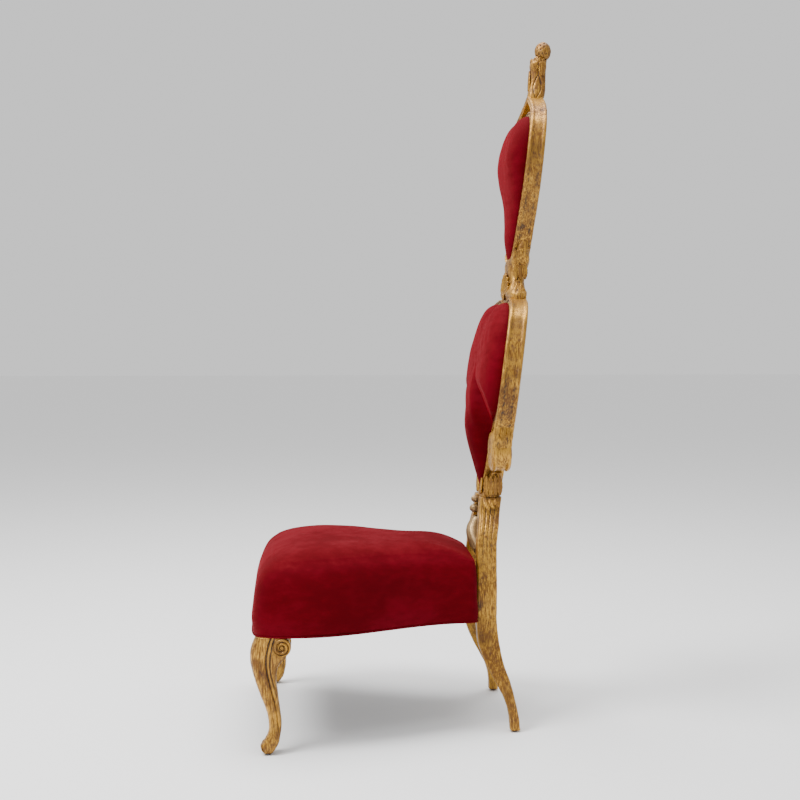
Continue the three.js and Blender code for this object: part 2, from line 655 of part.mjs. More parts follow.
// Upper back frame: waist with its shell, rim, crest, neck and ball finial
function upperFrame() {
  const round = rim(upperOutline, upperRimWidth);
  const waistTop = UPPER_OPENING_BASE + 40;
  const knuckle = (angle, z) => 1 + 0.05 * Math.cos(3 * angle + z / 9);
  const thick = frameThickness(WAIST_BOTTOM);
  const waist = slices([
    [WAIST_BOTTOM - 34, WAIST_HALF_WIDTH + 40, 2, thick - 6],
    [WAIST_BOTTOM, WAIST_HALF_WIDTH + 38, -3, thick - 2],
    [WAIST_BOTTOM + 14, WAIST_HALF_WIDTH + 36, -5, thick + 6],
    [WAIST_BOTTOM + 30, WAIST_HALF_WIDTH + 14, 2, thick + 2],
    [WAIST_BOTTOM + 50, WAIST_HALF_WIDTH, 4, thick],
    [WAIST_BOTTOM + 72, WAIST_HALF_WIDTH - 3, 0, thick + 3],
    [WAIST_BOTTOM + 98, WAIST_HALF_WIDTH + 6, -3, thick + 3],
    [waistTop - 18, WAIST_HALF_WIDTH + 14, -1, thick - 2],
    [waistTop + 12, WAIST_HALF_WIDTH + 24, -2, thick - 6],
    [waistTop + 34, WAIST_HALF_WIDTH + 20, 5, thick - 14],
  ], 12, knuckle);
  const opening = throughCut(upperOutline, () => 0);
  const lowerHead = throughCut(lowerOutline, (share) => lowerRimWidth(share) + FIT_GAP);
  const fan = shell(0, WAIST_BOTTOM + 2, 60, (z) => frameThickness(z) - 2, 7, 2.6, 0);
  const crestThick = FRAME_HIGH_THICKNESS;
  const openingTop = UPPER_OPENING_BASE + UPPER_OPENING_HEIGHT;
  const leaf = (angle) => 1 + 0.07 * Math.cos(4 * angle);
  const neck = slices([
    [CREST_HEIGHT - 24, NECK_HALF_WIDTH - 6, 3, crestThick - 5],
    [CREST_HEIGHT - 10, NECK_HALF_WIDTH + 8, -3, crestThick],
    [CREST_HEIGHT + 6, NECK_HALF_WIDTH + 1, -3, crestThick - 2],
    [CREST_HEIGHT + 28, NECK_HALF_WIDTH - 4, -2, crestThick - 4],
    [CREST_HEIGHT + 56, NECK_HALF_WIDTH - 4, -2, crestThick - 3],
    [NECK_TOP - 8, NECK_HALF_WIDTH + 1, -2, crestThick + 1],
    [NECK_TOP, NECK_HALF_WIDTH + 3, -1, crestThick + 1],
    [NECK_TOP + 10, NECK_HALF_WIDTH - 4, 3, crestThick - 4],
    [NECK_TOP + 18, NECK_HALF_WIDTH - 10, 10, crestThick - 14],
  ], 12, leaf);
  const shoulder = UPPER_OPENING_HALF_WIDTH + UPPER_RIM_WIDTH;
  const archPath = [
    [shoulder - 2, openingTop - 82], [shoulder - 14, openingTop - 40],
    [0.7 * shoulder, openingTop + 0.11 * CREST_RISE],
    [0.42 * shoulder, openingTop + 0.49 * CREST_RISE],
    [0.18 * shoulder, openingTop + 0.73 * CREST_RISE], [-4, CREST_HEIGHT - 4],
  ];
  const arch = arm(archPath, (share) => 27 - 13 * share, 8);
  const ballZ = NECK_TOP + FINIAL_SEAT_RISE + FINIAL_RADIUS * FINIAL_STRETCH;
  const ballY = backPoint(0, 0, ballZ).y - 11;
  const finial = new THREE.SphereGeometry(FINIAL_RADIUS, 12, 9)
    .rotateX(Math.PI / 2)
    .scale(1, 1, FINIAL_STRETCH)
    .translate(0, ballY, ballZ);
  const trimmed = [waist, arch, mirrored(arch)]
    .map((geometry) => solid(geometry).subtract(opening).subtract(lowerHead));
  return joined(
    solid(round), ...trimmed, solid(fan).subtract(lowerHead), solid(neck), solid(finial));
}

// Both sides of everything that comes in pairs; the chair's own left side is +X
const sides = [['left', (geometry) => geometry], ['right', mirrored]];
sides.forEach(([side, place]) => {
  const onSide = (manifold) => solid(place(geometryOf(manifold)));
  addNode(`front_leg_${side}`, onSide(frontLeg()), AGED_GOLD);
  addNode(`rear_leg_and_stile_${side}`, onSide(rearLeg()), AGED_GOLD);
  addNode(`front_glide_${side}`,
    onSide(glide(FRONT_FOOT_HALF_SPACING, FRONT_FOOT_Y - 4)), BLACK_NYLON);
  addNode(`rear_glide_${side}`, onSide(glide(REAR_FOOT_HALF_SPACING, REAR_FOOT_Y)), BLACK_NYLON);
});

const boardTop = SEAT_BOTTOM + SEAT_BOARD_THICKNESS;
const boardRoom = seatBoard(
  SEAT_BOARD_INSET - FIT_GAP, SEAT_BOTTOM - 5, boardTop + FIT_GAP);
addNode('seat_upholstery', seat().subtract(boardRoom), RED_VELVET);
addNode('seat_board', seatBoard(SEAT_BOARD_INSET, SEAT_BOTTOM, boardTop), DARK_LINING);

addNode('splat', splat(), AGED_GOLD);
addNode('lower_back_frame', lowerFrame(), AGED_GOLD);
addNode('upper_back_frame_and_crest', upperFrame(), AGED_GOLD);
addNode('lower_back_cushion', cushion(
  lowerOutline, LOWER_OPENING_BASE, LOWER_OPENING_HEIGHT, LOWER_CUSHION_CROWN,
  LOWER_SWELL), RED_VELVET);
addNode('upper_back_cushion', cushion(
  upperOutline, UPPER_OPENING_BASE, UPPER_OPENING_HEIGHT, UPPER_CUSHION_CROWN,
  UPPER_SWELL), RED_VELVET);
addNode('lower_outside_panel', outsidePanel(lowerOutline), RED_VELVET);
addNode('upper_outside_panel', outsidePanel(upperOutline), RED_VELVET);

// The origin is on the floor, under the middle of the chair's own box
const box = new THREE.Box3().setFromObject(group);
const centre = box.getCenter(new THREE.Vector3());
group.position.set(0, -centre.y, -box.min.z);

export default group;
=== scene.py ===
"""Looks of the tall gilded throne chair: carved antique gold, red velvet, black glides."""
import math

import bpy
import numpy as np
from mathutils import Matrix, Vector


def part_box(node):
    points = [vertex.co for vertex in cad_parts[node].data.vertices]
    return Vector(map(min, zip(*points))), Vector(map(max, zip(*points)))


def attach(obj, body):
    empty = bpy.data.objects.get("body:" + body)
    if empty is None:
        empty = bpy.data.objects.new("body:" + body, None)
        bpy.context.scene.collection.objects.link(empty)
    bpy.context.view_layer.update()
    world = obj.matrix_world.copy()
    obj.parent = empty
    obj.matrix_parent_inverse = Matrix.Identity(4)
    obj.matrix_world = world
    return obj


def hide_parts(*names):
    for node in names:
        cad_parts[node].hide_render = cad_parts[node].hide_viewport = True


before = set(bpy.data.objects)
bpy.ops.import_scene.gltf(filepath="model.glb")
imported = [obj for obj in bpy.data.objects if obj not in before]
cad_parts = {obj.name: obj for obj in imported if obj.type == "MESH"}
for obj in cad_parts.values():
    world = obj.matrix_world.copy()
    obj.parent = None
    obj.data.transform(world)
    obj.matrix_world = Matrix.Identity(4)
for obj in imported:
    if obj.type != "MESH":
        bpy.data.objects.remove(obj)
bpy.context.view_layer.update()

MM = 0.001
TURN = 2 * math.pi

# Sizes in millimetres, as the frame's solids have them
BACK_BOW_RADIUS = 1300
RAKE_LOW, RAKE_HIGH = (470, 267), (1750, 409)
RAKE_BELLY = 7
SEAT_BOTTOM = 277
SEAT_FRONT = -366
SEAT_REAR = 201
SEAT_FRONT_HALF = 297
SEAT_REAR_HALF = 176
STILE_TOP = 578
STILE_TOP_X = 38
STILE_SEAT_X = 112
REAR_FOOT_X = 178
REAR_FOOT_Y = 293
FRONT_FOOT_X = 297
FRONT_FOOT_Y = -322
LEG_TOP_X = 266
GLIDE_HEIGHT = 5
FIT_GAP = 0.3
CUSHION_GAP = 1.0
FRAME_THICK_LOW, FRAME_THICK_HIGH = 53, 42
KNOB = (123, 706, 52)
KNOB_FACE = 0.86
WAIST_LOW, WAIST_HALF = 1104, 52
NECK_HALF = 21
CREST_HEIGHT = 1660
TOTAL_HEIGHT = 1798
FINIAL_RADIUS = 22.5
FINIAL_TALL = 1.15

# How finely curves and small carvings are made
CURVE_SAMPLES = 60
RIPPLE_WAVES, RIPPLE_REACH = 7, 1.6
RELIEF_REACH = 3
LEAF_STEPS, LEAF_SIDES = 26, 24
DISC_ROWS, DISC_SIDES = 36, 76
ARM_STEPS = 120

UP = np.array([0, 0, 1.0])
SIDES = (1, -1)

glide_low, glide_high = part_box("rear_glide_left")
SHIFT_Y = (glide_low[1] + glide_high[1]) / 2 - REAR_FOOT_Y * MM


# Curves and fields

def through(stations, at):
    """Smooth value at each place: cubic Hermite pieces through [place, value] stations."""
    table = np.array(stations, float)
    place, value = table[:, 0], table[:, 1]
    x = np.clip(at, place[0], place[-1])
    i = np.clip(np.searchsorted(place, x, side="left") - 1, 0, len(place) - 2)
    a, b = np.maximum(i - 1, 0), np.minimum(i + 2, len(place) - 1)
    before = (value[i + 1] - value[a]) / (place[i + 1] - place[a])
    after = (value[b] - value[i]) / (place[b] - place[i])
    span = place[i + 1] - place[i]
    u = (x - place[i]) / span
    bend = u * u * (3 - 2 * u)
    leave = u * (1 - u) ** 2 * span * before
    arrive = u * u * (u - 1) * span * after
    return value[i] * (1 - bend) + value[i + 1] * bend + leave + arrive


def step(x, low, high):
    """Smooth step from 0 at low to 1 at high."""
    t = np.clip((x - low) / (high - low), 0, 1)
    return t * t * (3 - 2 * t)


def bump(x, middle, width):
    """Bell curve: exp of minus the squared distance from the middle over the width."""
    return np.exp(-((x - middle) / width) ** 2)


def circle(count):
    """Row of angles at even spacing round one turn."""
    return np.linspace(0, TURN, count, endpoint=False)[None, :]


def smooth_curve(points, count, closed=False):
    """Centripetal curve through points, resampled evenly along its length, with unit tangents.

    Each stretch is a cubic Hermite piece, with slopes weighed by the square roots of the gaps.
    """
    p = np.array(points, float)
    if closed:
        p = np.vstack([p[-1:], p, p[:2]])
    else:
        p = np.vstack([2 * p[:1] - p[1:2], p, 2 * p[-1:] - p[-2:-1]])
    gap = np.sqrt(np.linalg.norm(np.diff(p, axis=0), axis=1))[:, None]
    prior, start, end, later = p[:-3], p[1:-2], p[2:-1], p[3:]
    before, span, after = gap[:-2], gap[1:-1], gap[2:]
    straight = (end - start) / span
    leave = ((start - prior) / before - (end - prior) / (before + span) + straight) * span
    arrive = (straight - (later - start) / (span + after) + (later - end) / after) * span
    u = np.linspace(0, 1, CURVE_SAMPLES, endpoint=False)[None, :, None]
    dense = (start[:, None] * (2 * u ** 3 - 3 * u ** 2 + 1)
             + end[:, None] * (3 * u ** 2 - 2 * u ** 3)
             + leave[:, None] * (u ** 3 - 2 * u ** 2 + u) + arrive[:, None] * (u ** 3 - u ** 2))
    dense = np.vstack([dense.reshape(-1, p.shape[1]), end[-1:]])
    length = np.concatenate([[0], np.cumsum(np.linalg.norm(np.diff(dense, axis=0), axis=1))])
    share = np.linspace(0, length[-1], count, endpoint=not closed)
    place = np.stack([np.interp(share, length, dense[:, k]) for k in range(p.shape[1])], axis=1)
    if closed:
        tangent = np.roll(place, -1, axis=0) - np.roll(place, 1, axis=0)
    else:
        tangent = np.gradient(place, axis=0)
    return place, tangent / np.linalg.norm(tangent, axis=1)[:, None]


def ripple(points, size, seed):
    """Smooth unevenness of about -1 to 1: mean of sine waves of one length, in seeded ways."""
    rng = np.random.default_rng(seed)
    way = rng.normal(size=(3, RIPPLE_WAVES))
    way *= TURN / size / np.linalg.norm(way, axis=0)
    phase = rng.uniform(0, TURN, RIPPLE_WAVES)
    return np.sin(points @ way + phase).mean(axis=-1) * RIPPLE_REACH


def rake(z):
    """Back face at the middle of the chair: a straight rake with a slight sine belly."""
    (low_z, low_y), (high_z, high_y) = RAKE_LOW, RAKE_HIGH
    share = (z - low_z) / (high_z - low_z)
    return low_y + (high_y - low_y) * share + RAKE_BELLY * np.maximum(0, np.sin(math.pi * share))


def on_back(x, depth, z):
    """Point on the bowed back: x across, z up, depth forward from the back face."""
    x, depth, z = np.broadcast_arrays(np.asarray(x, float), depth, z)
    return np.stack([x, rake(z) - x ** 2 / (2 * BACK_BOW_RADIUS) - depth, z], axis=-1)


def frame_thick(z):
    """Thickness of the carved frame: a straight taper from the stiles' top to the crest."""
    taper = FRAME_THICK_HIGH - FRAME_THICK_LOW
    return FRAME_THICK_LOW + taper * (z - STILE_TOP) / (CREST_HEIGHT - STILE_TOP)


# Surfaces: each shell is a grid of closed rings, with joined or capped ends

def surface_normals(grid, closed):
    """Unit normals of a grid: cross product of its two central differences."""
    if closed:
        along = np.roll(grid, -1, axis=0) - np.roll(grid, 1, axis=0)
    else:
        along = np.gradient(grid, axis=0)
    across = np.roll(grid, -1, axis=1) - np.roll(grid, 1, axis=1)
    normal = np.cross(along, across)
    return normal / np.maximum(np.linalg.norm(normal, axis=-1, keepdims=True), 1e-9)


def shell(grid, closed=False):
    """Shell of a grid of rings: quads, fans over open ends, turned outwards by its volume."""
    rings, sides = grid.shape[:2]
    ring = np.arange(rings if closed else rings - 1)[:, None]
    side = np.arange(sides)[None, :]
    after, beside = (ring + 1) % rings, (side + 1) % sides
    quads = np.stack([ring * sides + side, ring * sides + beside,
                      after * sides + beside, after * sides + side], -1).reshape(-1, 4)
    points = grid.reshape(-1, 3)
    relief = grid_relief(grid, closed).reshape(-1)
    fans = np.zeros((0, 3), int)
    if not closed:
        hubs = np.stack([grid[0].mean(axis=0), grid[-1].mean(axis=0)])
        points = np.vstack([points, hubs])
        relief = np.concatenate([relief, [0, 0]])
        side, beside, last = side[0], beside[0], (rings - 1) * sides
        fans = np.vstack([
            np.stack([np.full(sides, rings * sides), beside, side], -1),
            np.stack([np.full(sides, rings * sides + 1), last + side, last + beside], -1)])
    a, b, c, d = (points[quads[:, k]] for k in range(4))
    volume = (a * np.cross(b, c)).sum() + (a * np.cross(c, d)).sum()
    if len(fans):
        a, b, c = (points[fans[:, k]] for k in range(3))
        volume += (a * np.cross(b, c)).sum()
    if volume < 0:
        quads, fans = quads[:, ::-1], fans[:, ::-1]
    else:
        relief = -relief
    return points, quads, fans, relief


def grid_relief(grid, closed):
    """Height of each point over the mean of its neighbours a few steps away, along the normal."""
    mean = np.zeros_like(grid)
    for k in (-RELIEF_REACH, RELIEF_REACH):
        if closed:
            mean += np.roll(grid, k, axis=0)
        else:
            rows = np.clip(np.arange(len(grid)) + k, 0, len(grid) - 1)
            other = np.clip(np.arange(len(grid)) - k, 0, len(grid) - 1)
            mean += np.where((rows - other)[:, None, None] == 2 * k, grid[rows], grid)
        mean += np.roll(grid, k, axis=1)
    return ((grid - mean / 4) * surface_normals(grid, closed)).sum(axis=-1)


def on_side(grid, side):
    """Left-hand grid as it is, for 1, or mirrored to the chair's right, for -1."""
    return grid * np.array([side, 1, 1])


def carve(grid, height, closed=False):
    """Grid moved along its outward normal by a height field; outward is found from the volume."""
    normal = surface_normals(grid, closed)
    middle = grid.mean(axis=1, keepdims=True)
    sign = np.sign(((grid - middle) * normal).sum()) or 1
    return grid + normal * sign * np.asarray(height)[..., None]


def rounded(grid, times=2):
    """Corners of every ring cut: each side gives points at a quarter and three quarters."""
    for _ in range(times):
        after = np.roll(grid, -1, axis=1)
        pair = np.stack([0.75 * grid + 0.25 * after, 0.25 * grid + 0.75 * after], axis=2)
        grid = pair.reshape(grid.shape[0], -1, grid.shape[2])
    return grid


def piece(name, shells, material, node):
    """One mesh object from shells, in metres, that stands for a node of the frame."""
    parts = [shell(*item) if isinstance(item, tuple) else shell(item) for item in shells]
    offset = np.cumsum([0] + [len(p[0]) for p in parts])
    points = np.vstack([p[0] for p in parts]) * MM + np.array([0, SHIFT_Y, 0])
    quads = np.vstack([p[1] + o for p, o in zip(parts, offset)])
    fans = np.vstack([p[2] + o for p, o in zip(parts, offset)])
    relief = np.concatenate([p[3] for p in parts])
    corners = np.concatenate([quads.reshape(-1), fans.reshape(-1)]).astype(np.int32)
    starts = np.concatenate([
        np.arange(len(quads)) * 4, len(quads) * 4 + np.arange(len(fans)) * 3]).astype(np.int32)
    mesh = bpy.data.meshes.new(name)
    mesh.vertices.add(len(points))
    mesh.vertices.foreach_set("co", points.astype(np.float32).reshape(-1))
    mesh.loops.add(len(corners))
    mesh.loops.foreach_set("vertex_index", corners)
    mesh.polygons.add(len(starts))
    mesh.polygons.foreach_set("loop_start", starts)
    mesh.polygons.foreach_set("use_smooth", np.ones(len(starts), bool))
    mesh.update(calc_edges=True)
    mesh.validate()
    mesh.attributes.new("relief", "FLOAT", "POINT").data.foreach_set(
        "value", relief.astype(np.float32))
    mesh.materials.append(material)
    made = bpy.data.objects.new(name, mesh)
    bpy.context.scene.collection.objects.link(made)
    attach(made, "root")
    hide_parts(node)
    return made


def leaf(origin, along, out, size, curl=0.0):
    """Carved leaf: a lobed half-lens swept along a line that lifts off and curls at its tip.

    Its size is length, width and thickness. The half width is a power of a sine with a cosine's
    lobes, the section an ellipse veined on top by a cosine, and the line lifts by a power.
    """
    length, width, thick = size
    along = np.array(along, float) / np.linalg.norm(along)
    out = np.array(out, float) / np.linalg.norm(out)
    side = np.cross(along, out)
    side /= np.linalg.norm(side)
    u = np.linspace(0.01, 1, LEAF_STEPS)[:, None]
    lobe = 1 + 0.16 * np.abs(np.cos(2.5 * TURN * u))
    half = width / 2 * np.sin(math.pi * (0.12 + 0.86 * u)) ** 0.7 * lobe
    angle = circle(LEAF_SIDES)
    across = np.cos(angle)
    vein = 0.28 * np.cos(across * 1.5 * TURN) * (1 - 0.4 * np.abs(across))
    top = np.sin(angle) * (1 + vein * (np.sin(angle) > 0)) * thick * (1 - 0.45 * u)
    lift = curl * u ** 2.5
    bow = thick * 0.5 * np.sin(math.pi * u)
    reach = length * (u - 0.22 * curl / length * u ** 4)
    spine = np.array(origin, float) + along * reach[..., None]
    return spine + side * (half * across)[..., None] + out * (top + lift + bow)[..., None]


def disc(centre, normal, radius, height, turns, thick, eye):
    """Scroll end: a round button whose face carries a spiral ridge and an eye.

    The ridge is the root of a cosine of the radius's share times the turns, less the angle.
    """
    normal = np.array(normal, float)
    side = np.cross(UP, normal)
    row = np.arange(DISC_ROWS)[:, None]
    part = np.concatenate([[1, 1], np.linspace(1, 0.02, DISC_ROWS - 2)])[:, None]
    angle = circle(DISC_SIDES)
    ridge = 0.5 + 0.5 * np.cos(TURN * (part * turns - angle / TURN))
    ridge = ridge ** 0.5 * step(part, eye, eye + 0.12) * (1 - step(part, 0.95, 1))
    button = step(eye + 0.05 - part, 0, 0.1)
    face = height * np.maximum(ridge, button) - 0.4 * height * bump(part, 1, 0.05)
    rise = np.where(row < 1, -thick, 0) + np.where(row > 1, face, 0)
    shrink = part * radius
    return (np.array(centre, float) + UP * (shrink * np.cos(angle))[..., None]
            + side * (shrink * np.sin(angle))[..., None] + normal * rise[..., None])


def lathe(profile, centre, sides, axis=2):
    """Turned form: a profile of [radius, height] swept round an axis through its centre."""
    radius, along = np.array(profile, float).T
    angle = circle(sides)
    grid = np.zeros((len(radius), sides, 3))
    others = [k for k in range(3) if k != axis]
    grid[..., others[0]] = radius[:, None] * np.cos(angle)
    grid[..., others[1]] = radius[:, None] * np.sin(angle)
    grid[..., axis] = along[:, None]
    return grid + np.array(centre, float)


# Materials

class Term:
    """A value in a material's node tree that can be used in plain expressions."""

    def __init__(self, tree, socket):
        self.tree, self.socket = tree, socket

    def make(self, kind, settings, inputs, output=0):
        """A node of a kind: its settings first, then each socket's value or link."""
        node = self.tree.nodes.new(kind)
        for key, value in settings.items():
            setattr(node, key, value)
        for key, value in inputs.items():
            if isinstance(value, Term):
                self.tree.links.new(value.socket, node.inputs[key])
            else:
                node.inputs[key].default_value = value
        return Term(self.tree, node.outputs[output])

    def maths(self, operation, first, second):
        """Math node on two terms or numbers."""
        return self.make("ShaderNodeMath", {"operation": operation}, {0: first, 1: second})

    def __add__(self, other):
        return self.maths("ADD", self, other)

    __radd__ = __add__

    def __sub__(self, other):
        return self.maths("SUBTRACT", self, other)

    def __rsub__(self, other):
        return self.maths("SUBTRACT", other, self)

    def __mul__(self, other):
        return self.maths("MULTIPLY", self, other)

    __rmul__ = __mul__

    def between(self, low, high, to_low=0.0, to_high=1.0):
        """Smooth step of the value from low to high, onto another range."""
        return self.make(
            "ShaderNodeMapRange", {"interpolation_type": "SMOOTHSTEP"},
            {"Value": self, "From Min": low, "From Max": high, "To Min": to_low, "To Max": to_high})

    def blend(self, first, second):
        """Colour between two colours, by this value."""
        return self.make("ShaderNodeMix", {"data_type": "RGBA"},
                         {0: self, 6: first, 7: second}, 2)

    def stretched(self, scale):
        """Vector multiplied by a scale on each axis."""
        return self.make("ShaderNodeVectorMath", {"operation": "MULTIPLY"}, {0: self, 1: scale})

    def noise(self, scale, detail=4.0, roughness=0.55):
        """Fractal noise read at this vector."""
        return self.make("ShaderNodeTexNoise", {}, {
            "Vector": self, "Scale": scale, "Detail": detail, "Roughness": roughness})


def new_material(name):
    """Empty material: returns it, a starter term and its shader."""
    material = bpy.data.materials.new(name)
    material.use_nodes = True
    tree = material.node_tree
    place = tree.nodes.new("ShaderNodeTexCoord").outputs["Object"]
    return material, Term(tree, place), tree.nodes["Principled BSDF"]


def feed(place, shader, **inputs):
    """Links each term to the shader's socket of that name, or sets a plain value on it."""
    for key, value in inputs.items():
        socket = shader.inputs[key.replace("_", " ")]
        if isinstance(value, Term):
            place.tree.links.new(value.socket, socket)
        else:
            socket.default_value = value


def colour(red, green, blue):
    """Linear colour from the usual 0 to 255 numbers."""
    part = np.array([red, green, blue]) / 255
    linear = np.where(part <= 0.04045, part / 12.92, ((part + 0.055) / 1.055) ** 2.4)
    return (*linear, 1.0)


# Repeats of the gold's streaks and scratches in a metre: across, across and along
STREAKS = (330, 330, 40)
SCRATCHES = (520, 520, 34)


def antique_gold(name, bright, middle, clay, hollow):
    """Gold leaf over brown clay: streaks along the grain, rubbed ridges and dark hollows.

    Each layer is a smooth step of a weighted sum of noises and relief, blended over the last.
    """
    material, place, shader = new_material(name)
    relief = place.make("ShaderNodeAttribute", {"attribute_name": "relief"}, {}, 2)
    streak = place.stretched(STREAKS).noise(1.0, 5.0, 0.65)
    cloud = place.noise(9.0, 5.0, 0.6)
    spots = place.noise(46.0, 4.0, 0.7)
    fine = place.noise(330.0, 3.0, 0.6)
    tone = (streak * 0.65 + cloud * 0.35).between(0.43, 0.57)
    base = tone.blend(middle, bright)
    patch = (place.noise(15.0, 4.0, 0.6) * 0.7 + streak * 0.3).between(0.5, 0.62) * 0.6
    base = patch.blend(base, clay)
    scratch = place.stretched(SCRATCHES).noise(1.0, 4.0, 0.65)
    worn = (spots * 0.45 + fine * 0.15 + scratch * 0.4).between(0.49, 0.61) * 0.8
    base = worn.blend(base, clay)
    shade = (spots * 0.5 - relief * 0.9 - 0.2).between(0.12, 0.85) * 0.85
    base = shade.blend(base, hollow)
    rub = (relief * 0.6 + spots * 0.5 - 0.25).between(0.1, 0.9) * 0.45
    base = rub.blend(base, bright)
    rough = tone.between(0.0, 1.0, 0.52, 0.36) + worn * 0.25 + shade * 0.2
    height = streak * 0.5 + spots * 0.35 + fine * 0.3
    normal = place.make("ShaderNodeBump", {}, {
        "Strength": 0.35, "Distance": 0.0012, "Height": height})
    metal = 0.62 - worn * 0.45 - shade * 0.5
    feed(place, shader, Base_Color=base, Roughness=rough, Metallic=metal, Normal=normal)
    return material


def red_velvet(name, deep, full):
    """Velvet: deep red with a nap that lies in soft patches, and a sheen at grazing edges."""
    material, place, shader = new_material(name)
    nap = place.noise(4.0, 3.0, 0.5)
    pile = place.noise(700.0, 2.0, 0.6)
    brushed = place.stretched((30, 30, 60)).noise(1.0, 4.0, 0.6)
    lie = (nap * 0.6 + brushed * 0.3 + pile * 0.1).between(0.38, 0.62)
    base = lie.blend(deep, full)
    normal = place.make("ShaderNodeBump", {}, {
        "Strength": 0.25, "Distance": 0.0006, "Height": pile + brushed * 0.5})
    feed(place, shader, Base_Color=base, Normal=normal, Roughness=lie.between(0, 1, 0.9, 0.72),
         Sheen_Weight=0.12, Sheen_Roughness=0.36, Sheen_Tint=colour(255, 10, 40),
         Specular_IOR_Level=0.06)
    return material


def plain_cloth(name, dark, light, scale, roughness):
    """Matt surface in two close tones by fine noise."""
    material, place, shader = new_material(name)
    tone = place.noise(scale, 3.0).between(0.35, 0.65)
    feed(place, shader, Base_Color=tone.blend(dark, light), Roughness=roughness)
    return material


GOLD = antique_gold("antique gold", bright=colour(194, 144, 52), middle=colour(112, 72, 25),
                    clay=colour(74, 42, 20), hollow=colour(40, 22, 10))
PALE_GOLD = antique_gold(
    "gold rubbed to the gesso", bright=colour(160, 132, 90), middle=colour(112, 84, 54),
    clay=colour(96, 62, 34), hollow=colour(34, 18, 9))
VELVET = red_velvet("red velvet", colour(78, 0, 8), colour(97, 0, 14))
LINING = plain_cloth("black dust cloth", colour(24, 22, 22), colour(44, 41, 40), 420.0, 0.92)
GLIDE = plain_cloth("black glide", colour(18, 18, 19), colour(34, 34, 36), 90.0, 0.5)


# The two openings: outlines as shares of half width and height, rims and swells

LOWER = dict(
    base=593, height=496, half=199, crown=63.5,
    rim=dict(wide=36, narrow=14, tail=0.22, top=15),
    shares=[
        [0, 0], [0.14, 0.085], [0.22, 0.19], [0.3, 0.31], [0.47, 0.39], [0.76, 0.445],
        [0.94, 0.55], [1, 0.69], [0.93, 0.83], [0.72, 0.945], [0.38, 1], [0, 0.97]],
    swell=[
        [0, 0], [0.03, 0.22], [0.13, 0.55], [0.24, 0.81], [0.37, 0.96], [0.48, 0.99],
        [0.56, 1], [0.67, 0.97], [0.8, 0.93], [0.89, 0.9], [0.96, 0.83], [1, 0.65]])
UPPER = dict(
    base=1198, height=388, half=142, crown=49,
    rim=dict(wide=33, narrow=20, tail=0.16, top=13),
    shares=[
        [0, 0], [0.17, 0.06], [0.31, 0.15], [0.48, 0.28], [0.67, 0.41], [0.86, 0.55],
        [0.98, 0.68], [1, 0.79], [0.9, 0.89], [0.66, 0.965], [0.34, 1], [0, 0.985]],
    swell=[
        [0, 0.25], [0.07, 0.42], [0.16, 0.52], [0.28, 0.52], [0.41, 0.6], [0.56, 0.85],
        [0.68, 1], [0.76, 1.02], [0.88, 0.98], [0.96, 0.86], [1, 0.65]])


def opening(size, count):
    """Closed outline mirrored about the middle: x and z at even spacing, and outward normals."""
    right = np.array(size["shares"]) * [size["half"], size["height"]] + [0, size["base"]]
    left = right[1:-1][::-1] * [-1, 1]
    place, tangent = smooth_curve(np.vstack([right, left]), count, closed=True)
    return place, np.stack([tangent[:, 1], -tangent[:, 0]], axis=1)


def frame_section(width, thick):
    """Section of the carved member: bead at the opening, cove, outer band between two fillets."""
    width, thick = np.broadcast_arrays(np.asarray(width, float), thick)
    cove = np.minimum(5, width * 0.16)
    groove = np.minimum(2.2, width * 0.08)
    corner = np.minimum(4, width * 0.15)
    rows = [
        (0 * width, thick - corner), (0.1 * width, thick), (0.24 * width, thick),
        (0.3 * width, thick - 0.7 * cove), (0.42 * width, thick - cove),
        (0.64 * width, thick - cove), (0.72 * width, thick - 0.5 * cove),
        (0.78 * width, thick), (0.94 * width, thick),
        (width, thick - corner), (width, 0.84 * thick),
        (width - groove, 0.76 * thick), (width - 0.7 * groove, 0.5 * thick),
        (width - groove, 0.26 * thick), (width, 0.18 * thick),
        (width, 0.07 * thick), (width - corner, 0 * width), (0 * width, 0 * width)]
    return np.stack([np.stack(row, axis=-1) for row in rows], axis=-2)


RIM_TOP = (0.36, 0.44)
GADROON = (0.29, 0.055)


def rim_width(share, wide, narrow, tail, top):
    """Rim width, by smooth steps: narrow by the tail, wide round the lobes, its own on top."""
    from_tip = np.minimum(share, 1 - share)
    width = narrow + (wide - narrow) * step(from_tip, tail * 0.6, tail * 1.4)
    return width + (top - width) * step(from_tip, *RIM_TOP)


def swept(path, away, section):
    """Section of [out, depth] points carried along a path of x and z, bowed with the back."""
    out, depth = section[..., 0], section[..., 1]
    x, z = path[:, :1] + away[:, :1] * out, path[:, 1:] + away[:, 1:] * out
    return on_back(x, depth, z)


def carved_rim(size, count):
    """Rim: the section swept round the opening, with a gadrooned cove and worn unevenness.

    The gadroon is an absolute sine along the rim, inside a bell curve across the section.
    """
    place, away = opening(size, count)
    share = np.arange(count) / count
    section = frame_section(rim_width(share, **size["rim"]), frame_thick(place[:, 1]))
    grid = swept(place, away, rounded(section, 2))
    front = np.linspace(0, 1, grid.shape[1], endpoint=False)[None, :]
    gadroon = bump(front, *GADROON) * np.abs(np.sin(share[:, None] * count * 0.5))
    height = 1.6 * gadroon + 0.35 * ripple(grid, 17, 3) + 0.2 * ripple(grid, 6, 5)
    return carve(grid, height, closed=True)


